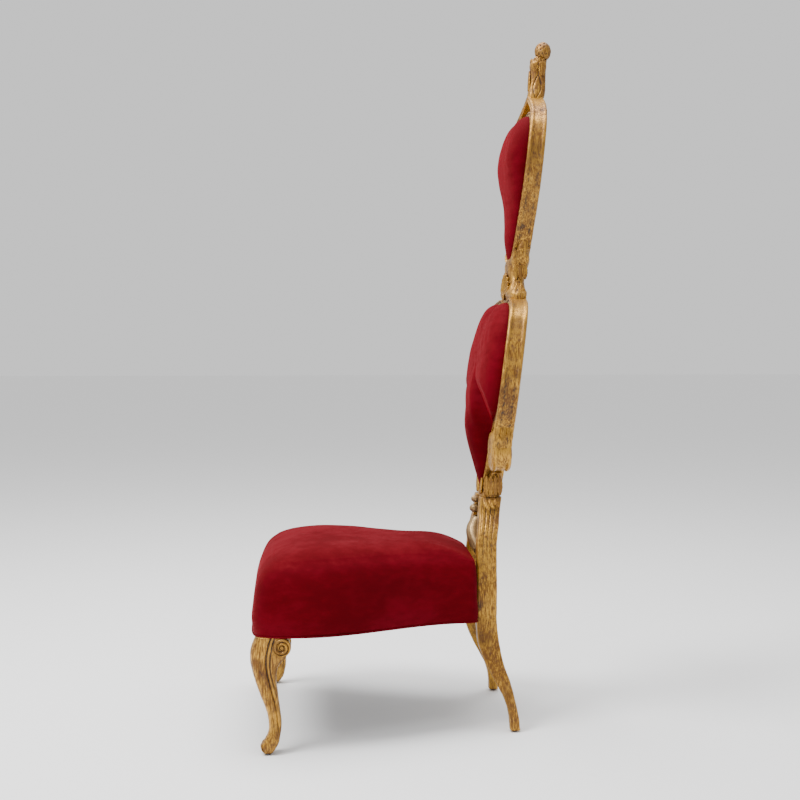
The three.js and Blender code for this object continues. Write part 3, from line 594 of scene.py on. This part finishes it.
def carved_arm(points, widths, seed):
    """Arm: the same section along an open path whose line is the outer face."""
    path, tangent = smooth_curve(points, ARM_STEPS)
    away = np.stack([tangent[:, 1], -tangent[:, 0]], axis=1)
    width = np.interp(np.linspace(0, 1, ARM_STEPS), [0, 1], widths)
    section = rounded(frame_section(width, frame_thick(path[:, 1]) - 1), 2)
    section = np.stack([section[..., 0] - width[:, None], section[..., 1] + 0.5], -1)
    grid = swept(path, away, section)
    height = 0.4 * ripple(grid, 21, seed) + 0.25 * ripple(grid, 7, seed + 1)
    return carve(grid, height)


def slices(stations, count, sides, height):
    """Upright carved form in level slices: half width, back depth and front depth at heights.

    Each slice is a superellipse of power 3, carved by a height field of its angle and height.
    """
    table = np.array(stations, float)
    z = np.linspace(table[0, 0], table[-1, 0], count)[:, None]
    half, back, front = (through(table[:, [0, k]], z) for k in (1, 2, 3))
    angle = (np.arange(sides)[None, :] + 0.5) * TURN / sides
    square = (np.abs(np.sin(angle)) ** 3 + np.abs(np.cos(angle)) ** 3) ** (-1 / 3)
    x = np.sin(angle) * half * square
    depth = (back + front) / 2 + np.cos(angle) * (front - back) / 2 * square
    grid = on_back(x, depth, z)
    return carve(grid, height(angle + 0 * z, z + 0 * angle) + 0.3 * ripple(grid, 9, 11))


# Lower back frame

BLOCK_LOW = STILE_TOP + FIT_GAP


def knob_shell(side):
    """Scroll end: turned about the depth axis, with fillets round its edge."""
    x, z, radius = KNOB
    half, face = frame_thick(z) / 2 - 1.5, KNOB_FACE * radius
    profile = [
        [0.5, -half], [face, -half], [radius - 2, -half + 3], [radius, -half + 8],
        [radius - 2.5, -half + 13], [radius - 3, 0], [radius - 2.5, half - 13],
        [radius, half - 8], [radius - 2, half - 3], [face, half], [0.5, half]]
    rings, _ = smooth_curve(profile, 90)
    centre = on_back(x * side, frame_thick(z) / 2 + 2, z)
    grid = lathe(rings, centre, sides=120, axis=1)
    return carve(grid, 0.4 * ripple(grid, 15, 21) + 0.2 * ripple(grid, 5, 22))


def scroll_arm_shells(side):
    """Arm and knob on one side, a spiral on the knob, a bead over it and three leaves above."""
    x, z, radius = KNOB
    outer, base = LOWER["half"] + LOWER["rim"]["wide"], LOWER["base"]
    path = [[x + radius - 3, z + 12], [x + radius + 6, z + 58], [outer - 34, base + 208],
            [outer - 8, base + 265], [outer + 1, base + 312], [outer - 5, base + 345]]
    arm = carved_arm(path, widths=(34, 34), seed=7)
    face = on_back(x * side, frame_thick(z) - 0.5, z)
    bead = on_back((x + radius - 1) * side, 2, z + radius + 7)
    spiral = disc(face, (0, -1, 0), radius * KNOB_FACE, height=3, turns=2.6, thick=2, eye=0.16)
    shells = [on_side(arm, side), knob_shell(side), spiral,
              leaf(bead, (0, -1, 0), (side, 0, 0.1), (48, 9, 5))]
    for k, lean in enumerate((-0.5, 0.0, 0.5)):
        foot = on_back((x + radius - 6 + 5 * k) * side, 12 + 16 * k, z + 92)
        shells.append(leaf(foot, (side * (0.1 - lean * 0.3), -0.15, -1), (side, 0, 0.1),
                           (62, 17, 4.5), curl=4))
    return shells


def block_lobes(angle, z):
    """Lobes round the block: the absolute cosine of five angles, leaning with the height."""
    return 1.2 * np.abs(np.cos(5 * angle + z / 14)) * step(z, BLOCK_LOW, BLOCK_LOW + 9)


def stile_block_shells():
    """Block over the stiles' heads, with upright leaves round it and a scroll on each side."""
    low, half = BLOCK_LOW, STILE_TOP_X + 19
    rows = [[low, half, 0, 55], [low + 12, half + 3, 0, 53], [low + 40, half, 0, 45],
            [low + 64, half + 2, 4, 39]]
    shells = [slices(rows, 60, 96, block_lobes)]
    for side in SIDES:
        for k in range(4):
            foot = on_back(side * half * 1.02, 7 + 12 * k, low + 5)
            shells.append(leaf(foot, (side * 0.15, 0, 1), (side, 0, 0.1), (54, 14, 5), curl=3))
        foot = on_back(side * 24, 52, low + 6)
        shells.append(leaf(foot, (side * 0.35, 0.1, 1), (0, -1, 0.1), (46, 24, 5), curl=4))
        boss = on_back(side * (half + 2), 26, low + 56)
        shells.append(disc(boss, (side, 0, 0), 11, height=2.6, turns=1.4, thick=6, eye=0.3))
    return shells


def lower_frame_shells():
    """Rim, scroll arms with their knobs, and the block that meets the stiles."""
    rim = carved_rim(LOWER, 300)
    return [(rim, True)] + scroll_arm_shells(1) + scroll_arm_shells(-1) + stile_block_shells()


# Upper back frame

def waist_knuckles(angle, z):
    """Knuckles on the waist: absolute sines round it in two bands, leaning with the height."""
    upper = 2.6 * np.abs(np.sin(3.5 * angle + z / 13)) ** 0.8 * bump(z, WAIST_LOW + 92, 46)
    lower = 1.6 * np.abs(np.sin(6 * angle - z / 9)) * bump(z, WAIST_LOW + 30, 24)
    return upper + lower - 0.6


def waist_shells():
    """Waist: its body, a shell of nine leaves round an eye in front, and leaves at the sides."""
    low, half = WAIST_LOW, WAIST_HALF
    top = UPPER["base"] + 40
    thick = frame_thick(low)
    rows = [
        [low - 10, half + 36, -2, thick - 2], [low, half + 38, -3, thick - 1],
        [low + 14, half + 35, -5, thick + 5], [low + 30, half + 13, 2, thick + 2],
        [low + 50, half, 4, thick], [low + 72, half - 3, 0, thick + 3],
        [low + 98, half + 6, -3, thick + 3], [top - 18, half + 12, -1, thick - 2],
        [top + 12, half + 16, 0, thick - 8], [top + 34, half + 8, 5, thick - 14]]
    shells = [slices(rows, 130, 112, waist_knuckles)]
    for k in range(-4, 5):
        lean = k * 0.3
        foot = on_back(14 * math.sin(lean), thick + 1, low + 12 + 6 * math.cos(lean))
        shells.append(leaf(foot, (math.sin(lean), 0.14, math.cos(lean)), (0, -1, 0.05),
                           (54 - 2.2 * abs(k), 15, 6), curl=5))
    eye = on_back(0, thick + 5, low + 10)
    shells.append(disc(eye, (0, -1, 0), 13, height=3, turns=1.0, thick=10, eye=0.4))
    for side in SIDES:
        for k in range(4):
            lean = (k - 1.5) * 0.34
            foot = on_back(side * (half + 25 - 3 * k), 4 + 11 * k, low - 2)
            shells.append(leaf(foot, (-side * 0.35, lean * 0.5, 1), (side, 0, 0.35),
                               (44, 14, 5), curl=5))
        for k in range(3):
            foot = on_back(side * (half + 2), 8 + 12 * k, low + 92)
            shells.append(leaf(foot, (side * 0.3, -0.22, 1), (side, 0, -0.1), (40, 17, 4), curl=3))
        for k in range(3):
            foot = on_back(side * (half - 2), 13 + 12 * k, low + 92)
            shells.append(leaf(foot, (side * 0.05, 0.05, -1), (side, 0, 0), (42, 15, 4), curl=2))
        foot = on_back(side * (half + 12), 2, top)
        shells.append(leaf(foot, (0, -1, -0.3), (side, 0, 0.15), (46, 9, 4.5)))
    return shells


def arch_shells():
    """Arch over the upper opening: a tapering arm from each shoulder to the neck."""
    shoulder = UPPER["half"] + UPPER["rim"]["wide"]
    crown = UPPER["base"] + UPPER["height"]
    path = [[shoulder - 2, crown - 82], [shoulder - 14, crown - 40], [0.7 * shoulder, crown + 8],
            [0.42 * shoulder, crown + 36], [0.18 * shoulder, crown + 54], [-4, CREST_HEIGHT - 4]]
    arm = carved_arm(path, widths=(27, 14), seed=31)
    return [on_side(arm, side) for side in SIDES]


def almond_line(angle, z):
    """Almond cut in each side of the neck: a bell curve about a line that bows as a sine."""
    bow = 9 * np.sin(math.pi * np.clip((z - CREST_HEIGHT + 20) / 68, 0, 1))
    return -2.2 * np.abs(np.sin(angle)) * bump(np.abs(np.cos(angle) * 20 - 2), bow, 1.7)


def neck_shells():
    """Neck with its almonds, a ring of leaves under the ball, and leaves on its four faces."""
    low, half = CREST_HEIGHT, NECK_HALF
    rows = [
        [low - 24, half - 2, 1, 40], [low - 10, half + 1, -4, 41], [low + 6, half - 1, -5, 40],
        [low + 28, half - 4, -4, 38], [low + 56, half - 4, -2, 39], [low + 70, half + 1, -2, 42],
        [low + 78, half + 2, -1, 42], [low + 88, half - 4, 3, 38], [low + 98, half - 9, 10, 30]]
    shells = [slices(rows, 104, 104, almond_line)]
    middle = on_back(0, 20, low + 66)
    for k in range(10):
        angle = TURN * (k + 0.5) / 10
        out = np.array([math.sin(angle), -math.cos(angle), 0])
        shells.append(leaf(middle + out * 17, out * 0.05 + [0, 0.08, 1], out,
                           (26, 14, 3), curl=2.5))
    for side in SIDES:
        foot = on_back(side * (half - 4), 8, low + 44)
        shells.append(leaf(foot, (0, -0.14, 1), (side, 0, 0), (34, 16, 3.4), curl=2))
        foot = on_back(0, 20 + side * 18, low + 4)
        shells.append(leaf(foot, (0, 0.08, 1), (0, -side, 0), (56, 17, 3.5), curl=3))
    return shells


def ball_shell():
    """Ball finial: a slightly tall sphere, pitted where a ripple passes its threshold."""
    centre = on_back(0, 11, TOTAL_HEIGHT - FINIAL_RADIUS * FINIAL_TALL)
    angle = np.linspace(0.04, math.pi - 0.04, 64)
    profile = np.stack([np.sin(angle), -FINIAL_TALL * np.cos(angle)], 1) * FINIAL_RADIUS * 0.985
    ball = lathe(profile, centre, sides=100)
    pits = -1.6 * step(ripple(ball, 9, 41), 0.25, 0.8) + 0.5 * ripple(ball, 13, 43)
    return carve(ball, pits - 0.3 * np.abs(ripple(ball, 4, 44)))


def upper_frame_shells():
    """Rim, waist with its shell, arch, neck and ball finial."""
    rim = carved_rim(UPPER, 250)
    return [(rim, True)] + waist_shells() + arch_shells() + neck_shells() + [ball_shell()]


# Rear legs, which run up as the stiles of the back

STILE_X = [
    [5, REAR_FOOT_X], [40, REAR_FOOT_X - 4], [120, REAR_FOOT_X - 22], [200, STILE_SEAT_X + 18],
    [280, STILE_SEAT_X + 3], [360, STILE_SEAT_X - 2], [430, STILE_SEAT_X - 18],
    [490, STILE_TOP_X + 38], [540, STILE_TOP_X + 8], [STILE_TOP, STILE_TOP_X]]
STILE_FRONT = [
    [5, REAR_FOOT_Y - 13], [44, REAR_FOOT_Y - 16], [78, REAR_FOOT_Y - 25],
    [110, REAR_FOOT_Y - 41], [149, REAR_FOOT_Y - 62], [200, 209], [235, 203], [320, 202],
    [400, 205], [467, 208], [520, 216], [STILE_TOP, 222]]
STILE_BACK = [
    [5, REAR_FOOT_Y + 13], [36, REAR_FOOT_Y + 10], [82, REAR_FOOT_Y + 1],
    [122, REAR_FOOT_Y - 9], [162, REAR_FOOT_Y - 23], [204, 262], [257, 256], [330, 256.5],
    [407, 258], [467, 261], [520, 271], [STILE_TOP, 280]]
STILE_HALF = [[5, 13.5], [90, 14.5], [200, 18], [300, 19], [460, 19], [STILE_TOP, 21]]
FACE_SHARES = np.linspace(0.14, 0.86, 9)


def on_stile(height, part):
    """Point just inside the stile's outer face, at a height and a share from the front."""
    x = through(STILE_X, height) + through(STILE_HALF, height) - 1.5
    y = through(STILE_FRONT, height) * (1 - part) + through(STILE_BACK, height) * part
    return np.array([x, y, height])


def rear_leg_shells():
    """Leg and stile in level slices with bevelled corners, fluted on the upper outer face.

    A flute is the square of a cosine's positive half, with five to the depth of the stile.
    """
    z = np.linspace(GLIDE_HEIGHT + FIT_GAP, STILE_TOP, 300)[:, None]
    middle, half = through(STILE_X, z), through(STILE_HALF, z)
    front, back = through(STILE_FRONT, z), through(STILE_BACK, z)
    deep = back - front
    bevel = np.minimum(4, half * 0.28)
    across = [-half, bevel - half, half - bevel, half] + [half] * len(FACE_SHARES)
    across = np.hstack(across + [half, half - bevel, bevel - half, -half])
    down = [bevel, 0 * z, 0 * z, bevel] + [share * deep for share in FACE_SHARES]
    down = np.hstack(down + [deep - bevel, deep, deep, deep - bevel])
    grid = rounded(np.stack([middle + across, front + down, z + 0 * across], -1), 2)
    part = (grid[..., 1] - front) / deep
    outer = step(grid[..., 0] - middle, 0.4 * half, 0.8 * half)
    cut = np.maximum(0, np.cos(TURN * (5 * part + 0.06 * np.sin(z / 23) + 0.5))) ** 2
    flute = cut * (0.65 + 0.35 * ripple(grid * [1, 1, 0.35], 24, 53)) * step(z, 385, 450)
    flute *= outer * step(part, 0.06, 0.14) * (1 - step(part, 0.86, 0.94))
    shells = [carve(grid, 0.35 * ripple(grid, 26, 51) + 0.18 * ripple(grid, 8, 52) - 2.1 * flute)]
    for k in range(3):
        foot = on_stile(STILE_TOP - 2, 0.2 + 0.24 * k)
        shells.append(leaf(foot, (0.62, 0.3, -1), (1, 0, 0.55), (38 - 5 * k, 14, 2.6), curl=2))
    return shells


# Front legs

LEG_TOP = SEAT_BOTTOM - FIT_GAP
VOLUTE = (FRONT_FOOT_Y + 28, LEG_TOP - 23.5, 22.5)
LEG_FRONT = [
    [5, -16], [20, -23], [37, -12], [55, -4], [78, -4], [103, -10], [136, -24], [171, -37],
    [206, -47], [231, -50], [252, -47], [LEG_TOP, -37]]
LEG_REAR = [
    [5, 8], [22, 20], [47, 26], [70, 28], [90, 26], [135, 20], [178, 15], [205, 21],
    [225, 39], [252, 50.5], [LEG_TOP, 40]]
LEG_GROOVE = [
    [40, 24], [82, 18.9], [111, 14.3], [154, 2.2], [192, -7.3], [225, -9.7], [264, -2.4],
    [LEG_TOP, 2]]
LEG_X = [[5, FRONT_FOOT_X], [40, FRONT_FOOT_X - 4], [90, 285], [170, 272], [LEG_TOP, LEG_TOP_X]]
LEG_HALF = [[5, 14], [22, 18], [60, 15.5], [95, 16.5], [180, 24], [LEG_TOP, 29]]
LEG_OUTLINE = [[0, 0], [0.45, 0.03], [0.8, 0.1], [1, 0.22], [1, 0.35], [1, 0.48], [1, 0.61],
               [1, 0.74], [0.8, 0.9], [0.45, 0.98]]
TOE_BEND = 22


def front_leg_shells():
    """Cabriole leg in level slices, grooved down both sides, with scrolls at knee and toe.

    The grooves are bell curves about one line, with two faint ones that spread ahead of it.
    """
    z = np.linspace(GLIDE_HEIGHT + FIT_GAP, LEG_TOP, 180)[:, None]
    middle, half = through(LEG_X, z), through(LEG_HALF, z)
    front = FRONT_FOOT_Y + through(LEG_FRONT, z)
    deep = FRONT_FOOT_Y + through(LEG_REAR, z) - front
    other_side = [[-x, y] for x, y in [[0, 1]] + LEG_OUTLINE[:0:-1]]
    across, down = np.array(LEG_OUTLINE + other_side).T
    x = middle + across * half
    grid = rounded(np.stack([x, front + down * deep, z + 0 * x], -1), 3)
    flat = step(np.abs(grid[..., 0] - middle) / half, 0.6, 0.85)
    away = grid[..., 1] - FRONT_FOOT_Y - through(LEG_GROOVE, z)
    line = -3.4 * bump(away, 0, 2.3) + 1.5 * bump(away, 5, 2.6) - 1.8 * bump(away, 9.5, 1.9)
    line -= 0.9 * bump(away, -8 - 0.03 * z, 1.8) + 0.6 * bump(away, -17 - 0.05 * z, 2)
    line *= flat * step(z, 40, 70)
    shells = [carve(grid, 0.3 * ripple(grid, 22, 61) + 0.18 * ripple(grid, 7, 62) + line)]
    knee_y, knee_z, radius = VOLUTE
    knee_half = float(through(LEG_HALF, knee_z)) + 0.5
    toe_x, toe_half = (float(through(table, TOE_BEND)) for table in (LEG_X, LEG_HALF))
    for side in SIDES:
        knee = (LEG_TOP_X + side * knee_half, knee_y, knee_z)
        shells.append(disc(knee, (side, 0, 0), radius, height=4, turns=2.5, thick=12, eye=0.2))
        toe = (toe_x + side * (toe_half - 3.2), FRONT_FOOT_Y - 8, TOE_BEND - 3)
        shells.append(disc(toe, (side, 0, 0), 13, height=2.6, turns=1.6, thick=6, eye=0.3))
    return shells


# Splat between the stiles

FAN_SWELL = [[425, 12], [450, 21], [470, 29], [492, 31], [515, 22], [530, 10], [545, 2]]
FAN_HUB = STILE_TOP - 30
RIB_TOP, RIB_FOOT = 522, 438


def between_stiles(z):
    """Half the room between the stiles at a height, less the gap."""
    return through(STILE_X, z) - through(STILE_HALF, z) - FIT_GAP


def fan_face(z):
    """Place of the fan's face at a height, behind the stiles' front."""
    return through(STILE_FRONT, z) + 17


def fan_plate(low, high):
    """Plate above or below the ribs: one bowed section, as wide as the room at each height."""
    z = np.linspace(low, high, 40)[:, None]
    across = np.array([-1, -0.98, -0.5, 0, 0.5, 0.98, 1, 1, 0.98, -0.98, -1])
    down = np.array([2, 0, -5, -8, -5, 0, 2, 22, 24, 24, 22])
    x = across * between_stiles(z)
    grid = rounded(np.stack([x, down + fan_face(z), z + 0 * x], -1), 2)
    return carve(grid, 0.25 * ripple(grid, 12, 71))


def fan_rib(lean):
    """Rib: an ellipse, wider towards its foot, on a line from the hub that swells forward."""
    t = np.linspace(0, 1, 50)[:, None]
    angle = circle(24)
    z = RIB_TOP + (RIB_FOOT - RIB_TOP) * t
    x = (FAN_HUB - z) * math.tan(lean) * np.minimum(1, between_stiles(z) / 85)
    y = fan_face(z) + 9 - 12 * np.sin(angle) - through(FAN_SWELL, z) * bump(x, 0, 75)
    wide = 5 + 6.5 * t
    return np.stack([x + wide * np.cos(angle), y, z + 0 * angle], -1)


def scroll_tip(z, radius):
    """Tip of the splat's scroll: a ball drawn forward, with cosine rings across it."""
    angle = np.linspace(0.05, math.pi - 0.05, 40)
    profile = np.stack([np.sin(angle), -np.cos(angle)], 1) * radius
    tip = lathe(profile, (0, 0, 0), sides=60, axis=0) * [1.15, 1.5, 1.15]
    tip = tip + [0, float(through(STILE_FRONT, z)) - radius * 0.25, z]
    return carve(tip, 0.8 * np.cos(tip[..., 0] * 0.7))


def splat_shells():
    """Pierced fan: five ribs from a hub, between two plates, and two scroll tips."""
    return ([fan_plate(420, 462), fan_plate(517, STILE_TOP)]
            + [fan_rib(k * 0.27) for k in range(-2, 3)]
            + [scroll_tip(STILE_TOP - 10, 8.5), scroll_tip(STILE_TOP - 35, 9.5)])


# Seat and cushions

SEAT_CROWN_LINE = [
    [SEAT_FRONT, 466], [SEAT_FRONT + 116, 474], [SEAT_FRONT + 190, 476.5],
    [SEAT_FRONT + 380, 472], [SEAT_FRONT + 488, 464], [SEAT_REAR, 450]]
SEAT_FULL, SEAT_SHOULDER = 203, 181
SEAT_WALL = [
    [14, 4], [6, 0.4], [2.6, 1], [2, 5], [1.6, 14], [0, 44], [4, 85], [12, 130], [26, 160],
    [50, SEAT_SHOULDER]]
SEAT_HUB_Y = -80
REAR_CORNER_DROP = 6
WELT_RADIUS = 2.2
BOARD_EDGE = [[30, 0], [17.5, 0], [16.2, 1.5], [16, 4], [16, 14], [16.3, 17], [18, 18], [30, 18]]


def seat_plan(angle, inset):
    """Bell-shaped plan: a superellipse, squarer behind, drawn in towards the stiles.

    A smooth step eases its half width, and its front bows by one less the square across.
    """
    ahead = np.cos(angle) > 0
    middle, along = (SEAT_FRONT + SEAT_REAR) / 2, (SEAT_REAR - SEAT_FRONT) / 2
    power = np.where(ahead, 12, 24)
    reach = (np.abs(np.sin(angle)) ** power + np.abs(np.cos(angle)) ** power) ** (-1 / power)
    across = np.sin(angle) * reach
    drawn = np.where(ahead, inset, inset * 0.09)
    y = middle - np.cos(angle) * reach * (along - drawn)
    share = np.clip((y - SEAT_FRONT) / (SEAT_REAR - SEAT_FRONT), 0, 1)
    half = SEAT_FRONT_HALF + (SEAT_REAR_HALF - SEAT_FRONT_HALF) * step(share, 0.22, 0.95)
    bow = 7 * (1 - across ** 2) * step(np.cos(angle), 0, 1)
    return across * (half - inset * (1 - 0.6 * step(share, 0.7, 1))), y - bow


def even_angles(count):
    """Angles round the seat plan at even spacing along its edge."""
    angle = np.linspace(0, TURN, 6000)
    x, y = seat_plan(angle, 0)
    length = np.concatenate([[0], np.cumsum(np.hypot(np.diff(x), np.diff(y)))])
    return np.interp(np.linspace(0, length[-1], count, endpoint=False), length, angle)


def seat_body():
    """Seat: a wall of plans that bulges low down, then rows that shrink to a hub as it domes.

    Over the wall the height falls short of full by the sixth power of what is left to the
    hub. Heights are shares of the crown's line, and the rear corners drop by smooth steps.
    A low roll, cosine folds at the front corners and ripples soften it.
    """
    wall, _ = smooth_curve(SEAT_WALL, 100)
    x, y = seat_plan(even_angles(300)[None, :], wall[:, :1])
    t = 0.985 * np.linspace(0, 1, 60)[1:, None] ** 1.2
    dome = SEAT_FULL - (SEAT_FULL - SEAT_SHOULDER) * (1 - t) ** 6
    tall = np.concatenate([wall[:, 1:], dome])
    x = np.concatenate([x, x[-1] * (1 - t)])
    y = np.concatenate([y, y[-1] * (1 - t) + SEAT_HUB_Y * t])
    z = SEAT_BOTTOM + (through(SEAT_CROWN_LINE, y) - SEAT_BOTTOM) * tall / SEAT_FULL
    behind = step(np.abs(x), 50, 170) * step(y, 80, SEAT_REAR)
    z = z - REAR_CORNER_DROP * behind * step(tall, 120, 200)
    grid = np.stack([x, y, z], -1)
    roll = step(z, SEAT_BOTTOM, SEAT_BOTTOM + 12)
    roll = roll * (1 - step(z, SEAT_BOTTOM + 30, SEAT_BOTTOM + 60))
    corner = bump(np.abs(x), 290, 45) * bump(y, SEAT_FRONT, 45)
    folds = corner * np.cos((x - y) / 9) * (1 - step(z, 360, 440)) * 0.7
    soft = 1.5 * roll + folds + 1.2 * ripple(grid, 230, 81) + 0.35 * ripple(grid, 80, 82)
    return carve(grid, soft)


def seat_welt():
    """Welt: a circle swept round the plan, just inside the seat's lower edge."""
    x, y = seat_plan(even_angles(300), 1.0)
    path = np.stack([x, y, np.full_like(x, SEAT_BOTTOM + 0.4)], -1)
    out = np.stack([np.gradient(y), -np.gradient(x), 0 * x], -1)
    out /= np.linalg.norm(out, axis=1, keepdims=True)
    turn = circle(12)[..., None]
    return path[:, None] + WELT_RADIUS * (out[:, None] * np.cos(turn) + UP * np.sin(turn))


def board_shell():
    """Board: the seat's plan drawn in by the inset of each row, with softly rounded edges."""
    rows = np.array(BOARD_EDGE)
    x, y = seat_plan(even_angles(200)[None, :], rows[:, :1])
    return np.stack([x, y, SEAT_BOTTOM + rows[:, 1:] + 0 * x], -1)


OPENING_MIDDLE = 0.62
CREASE_LINE = [[0.28, 0.3], [0.4, 0.34], [0.52, 0.27], [0.64, 0.13], [0.72, 0]]
LOBE_FOOT = 0.38
LOBE_RISE = 0.5
CREASE_DEPTH = 9
MIDDLE_SWELL = 8


def shrunk_outline(size, count, rows, power):
    """Opening's outline drawn in by the gap and shrunk row by row to a point: x, z and scale."""
    place, away = opening(size, count)
    place = place - away * CUSHION_GAP
    middle = size["base"] + size["height"] * OPENING_MIDDLE
    scale = np.concatenate([[1, 1], 1 - np.linspace(0, 0.985, rows) ** power])[:, None]
    z = middle + (place[None, :, 1] - middle) * scale
    return place[None, :, 0] * scale, z, scale


def with_side_lobes(dome, x, share, size):
    """Crown with a lobe low down on each side: held near a straight wedge from the lobe's foot.

    The crease is a bell curve about its line, and the middle column between two swells forward.
    """
    line = through(CREASE_LINE, share) * size["half"]
    outside = step(np.abs(x) - line, -7, 7)
    wedge = 3 + LOBE_RISE * np.clip((share - LOBE_FOOT) * size["height"], 0, None)
    low = 1 - step(share, LOBE_FOOT + 0.12, LOBE_FOOT + 0.34)
    held = np.minimum(dome, wedge) * 0.85 + 0.15 * dome
    crease = bump(np.abs(x) - line, 0, 7) * step(share, LOBE_FOOT - 0.12, LOBE_FOOT) * low
    dome = dome + (held - dome) * outside * low - crease * np.minimum(CREASE_DEPTH, 0.5 * dome)
    between = (1 - outside) * low * step(share, LOBE_FOOT - 0.24, LOBE_FOOT)
    return dome + MIDDLE_SWELL * between * step(dome, 4, 26)


def cushion_shell(size, lift, seed, lobed=False):
    """Cushion: the shrunk outline, its crown the root of one less the scale to the fourth.

    The swell scales it at each height, a smooth step lifts the top, and ripples soften it.
    """
    x, z, scale = shrunk_outline(size, 280, 100, 1.7)
    share = (z - size["base"]) / size["height"]
    dome = size["crown"] * through(size["swell"], share)
    dome = dome * np.sqrt(np.maximum(0, 1 - scale ** 4))
    if lobed:
        dome = with_side_lobes(dome, x, share, size)
    depth = frame_thick(z) - 2 + dome
    depth[0] = 10.6
    z = z + lift * step(share, 0.74, 1) * np.clip(dome / size["crown"], 0, 1) ** 0.6
    grid = on_back(x, depth, z)
    soft = step(dome, 2, 20) * (1.1 * ripple(grid, 110, seed) + 0.4 * ripple(grid, 38, seed + 1))
    return grid - np.stack([0 * soft, soft, 0 * soft], -1)


def panel_shell(size):
    """Velvet panel behind a cushion: the shrunk outline, swelling by a root to its middle."""
    x, z, scale = shrunk_outline(size, 240, 40, 1.5)
    depth = 5.4 - 4.2 * np.sqrt(np.maximum(0, 1 - scale ** 3)) + 0 * x
    depth[0] = 10
    return on_back(x, depth, z)


def glide_shells(x, y):
    """Glide: a low turned button with rounded edges."""
    profile = [[0.3, 0], [6, 0], [7.2, 0.6], [7.7, 2], [8, 4], [7.6, 4.9], [0.3, 5]]
    return [lathe(profile, (x, y, 0), sides=48)]


piece("lower_frame", lower_frame_shells(), GOLD, "lower_back_frame")
piece("upper_frame", upper_frame_shells(), GOLD, "upper_back_frame_and_crest")
piece("splat", splat_shells(), PALE_GOLD, "splat")
for hand, side in zip(("left", "right"), SIDES):
    for name, node, shells, finish, slot in (
            ("rear_leg", "rear_leg_and_stile", rear_leg_shells(), GOLD, "gilded_wood"),
            ("front_leg", "front_leg", front_leg_shells(), GOLD, "gilded_wood"),
            ("front_glide", "front_glide", glide_shells(FRONT_FOOT_X, FRONT_FOOT_Y - 4),
             GLIDE, "black_glide"),
            ("rear_glide", "rear_glide", glide_shells(REAR_FOOT_X, REAR_FOOT_Y),
             GLIDE, "black_glide")):
        piece(f"{name}_{hand}", [on_side(grid, side) for grid in shells], finish,
              f"{node}_{hand}")
seat = piece("seat", [seat_body(), (seat_welt(), True)], VELVET, "seat_upholstery")
piece("seat_board", [board_shell()], LINING, "seat_board")
lower_cushion = piece("lower_cushion", [cushion_shell(LOWER, 19, 91, lobed=True)],
                      VELVET, "lower_back_cushion")
upper_cushion = piece("upper_cushion", [cushion_shell(UPPER, 9, 95)],
                      VELVET, "upper_back_cushion")
piece("lower_panel", [panel_shell(LOWER)], VELVET, "lower_outside_panel")
piece("upper_panel", [panel_shell(UPPER)], VELVET, "upper_outside_panel")


# Floor, light and camera, in metres

FLOOR_REACH = 30.0
LAMPS = [
    # name, place, width and watts
    ("key", (0.9, -2.3, 3.9), 1.6, 185),
    ("fill", (1.9, -0.9, 3.9), 1.2, 28),
    ("top", (-0.4, 0.0, 3.9), 2.4, 130)]
LAMP_AIM = np.array([0, 0, 0.8])


def stage(name, data):
    """Object of the stage, which isn't part of the chair."""
    made = bpy.data.objects.new(name, data)
    bpy.context.scene.collection.objects.link(made)
    return made


def white_floor():
    """Level white square under the chair."""
    mesh = bpy.data.meshes.new("floor")
    corners = np.array([[-1, -1, 0], [1, -1, 0], [1, 1, 0], [-1, 1, 0]], float) * FLOOR_REACH
    mesh.from_pydata(corners.tolist(), [], [(0, 1, 2, 3)])
    material, place, shader = new_material("white floor")
    feed(place, shader, Base_Color=(0.93, 0.93, 0.93, 1), Roughness=0.75, Specular_IOR_Level=0.1)
    mesh.materials.append(material)
    stage("floor", mesh)


def light():
    """Pale even surroundings, and three lamps overhead that face the chair's middle."""
    world = bpy.data.worlds.new("studio")
    bpy.context.scene.world = world
    world.use_nodes = True
    sky = world.node_tree.nodes["Background"]
    sky.inputs["Color"].default_value = (1, 1, 1, 1)
    sky.inputs["Strength"].default_value = 0.9
    for name, place, size, power in LAMPS:
        lamp = bpy.data.lights.new(name, "AREA")
        lamp.shape, lamp.size, lamp.energy = "DISK", size, power
        made = stage(name, lamp)
        made.location = place
        aim = LAMP_AIM - np.array(place)
        heading = math.atan2(aim[1], aim[0])
        tilt = math.acos(-aim[2] / np.linalg.norm(aim))
        made.rotation_euler = (tilt, 0, heading - math.pi / 2)


def camera():
    """Level camera at the chair's own left, a little forward, with its picture shifted down."""
    data = bpy.data.cameras.new("camera")
    data.sensor_width, data.lens, data.shift_y = 36, 53.1, -0.075
    made = stage("camera", data)
    made.location = (3.147, -0.2265 + SHIFT_Y, 0.994)
    made.rotation_euler = (math.pi / 2, 0, math.radians(85.63))
    bpy.context.scene.camera = made


white_floor()
light()
camera()
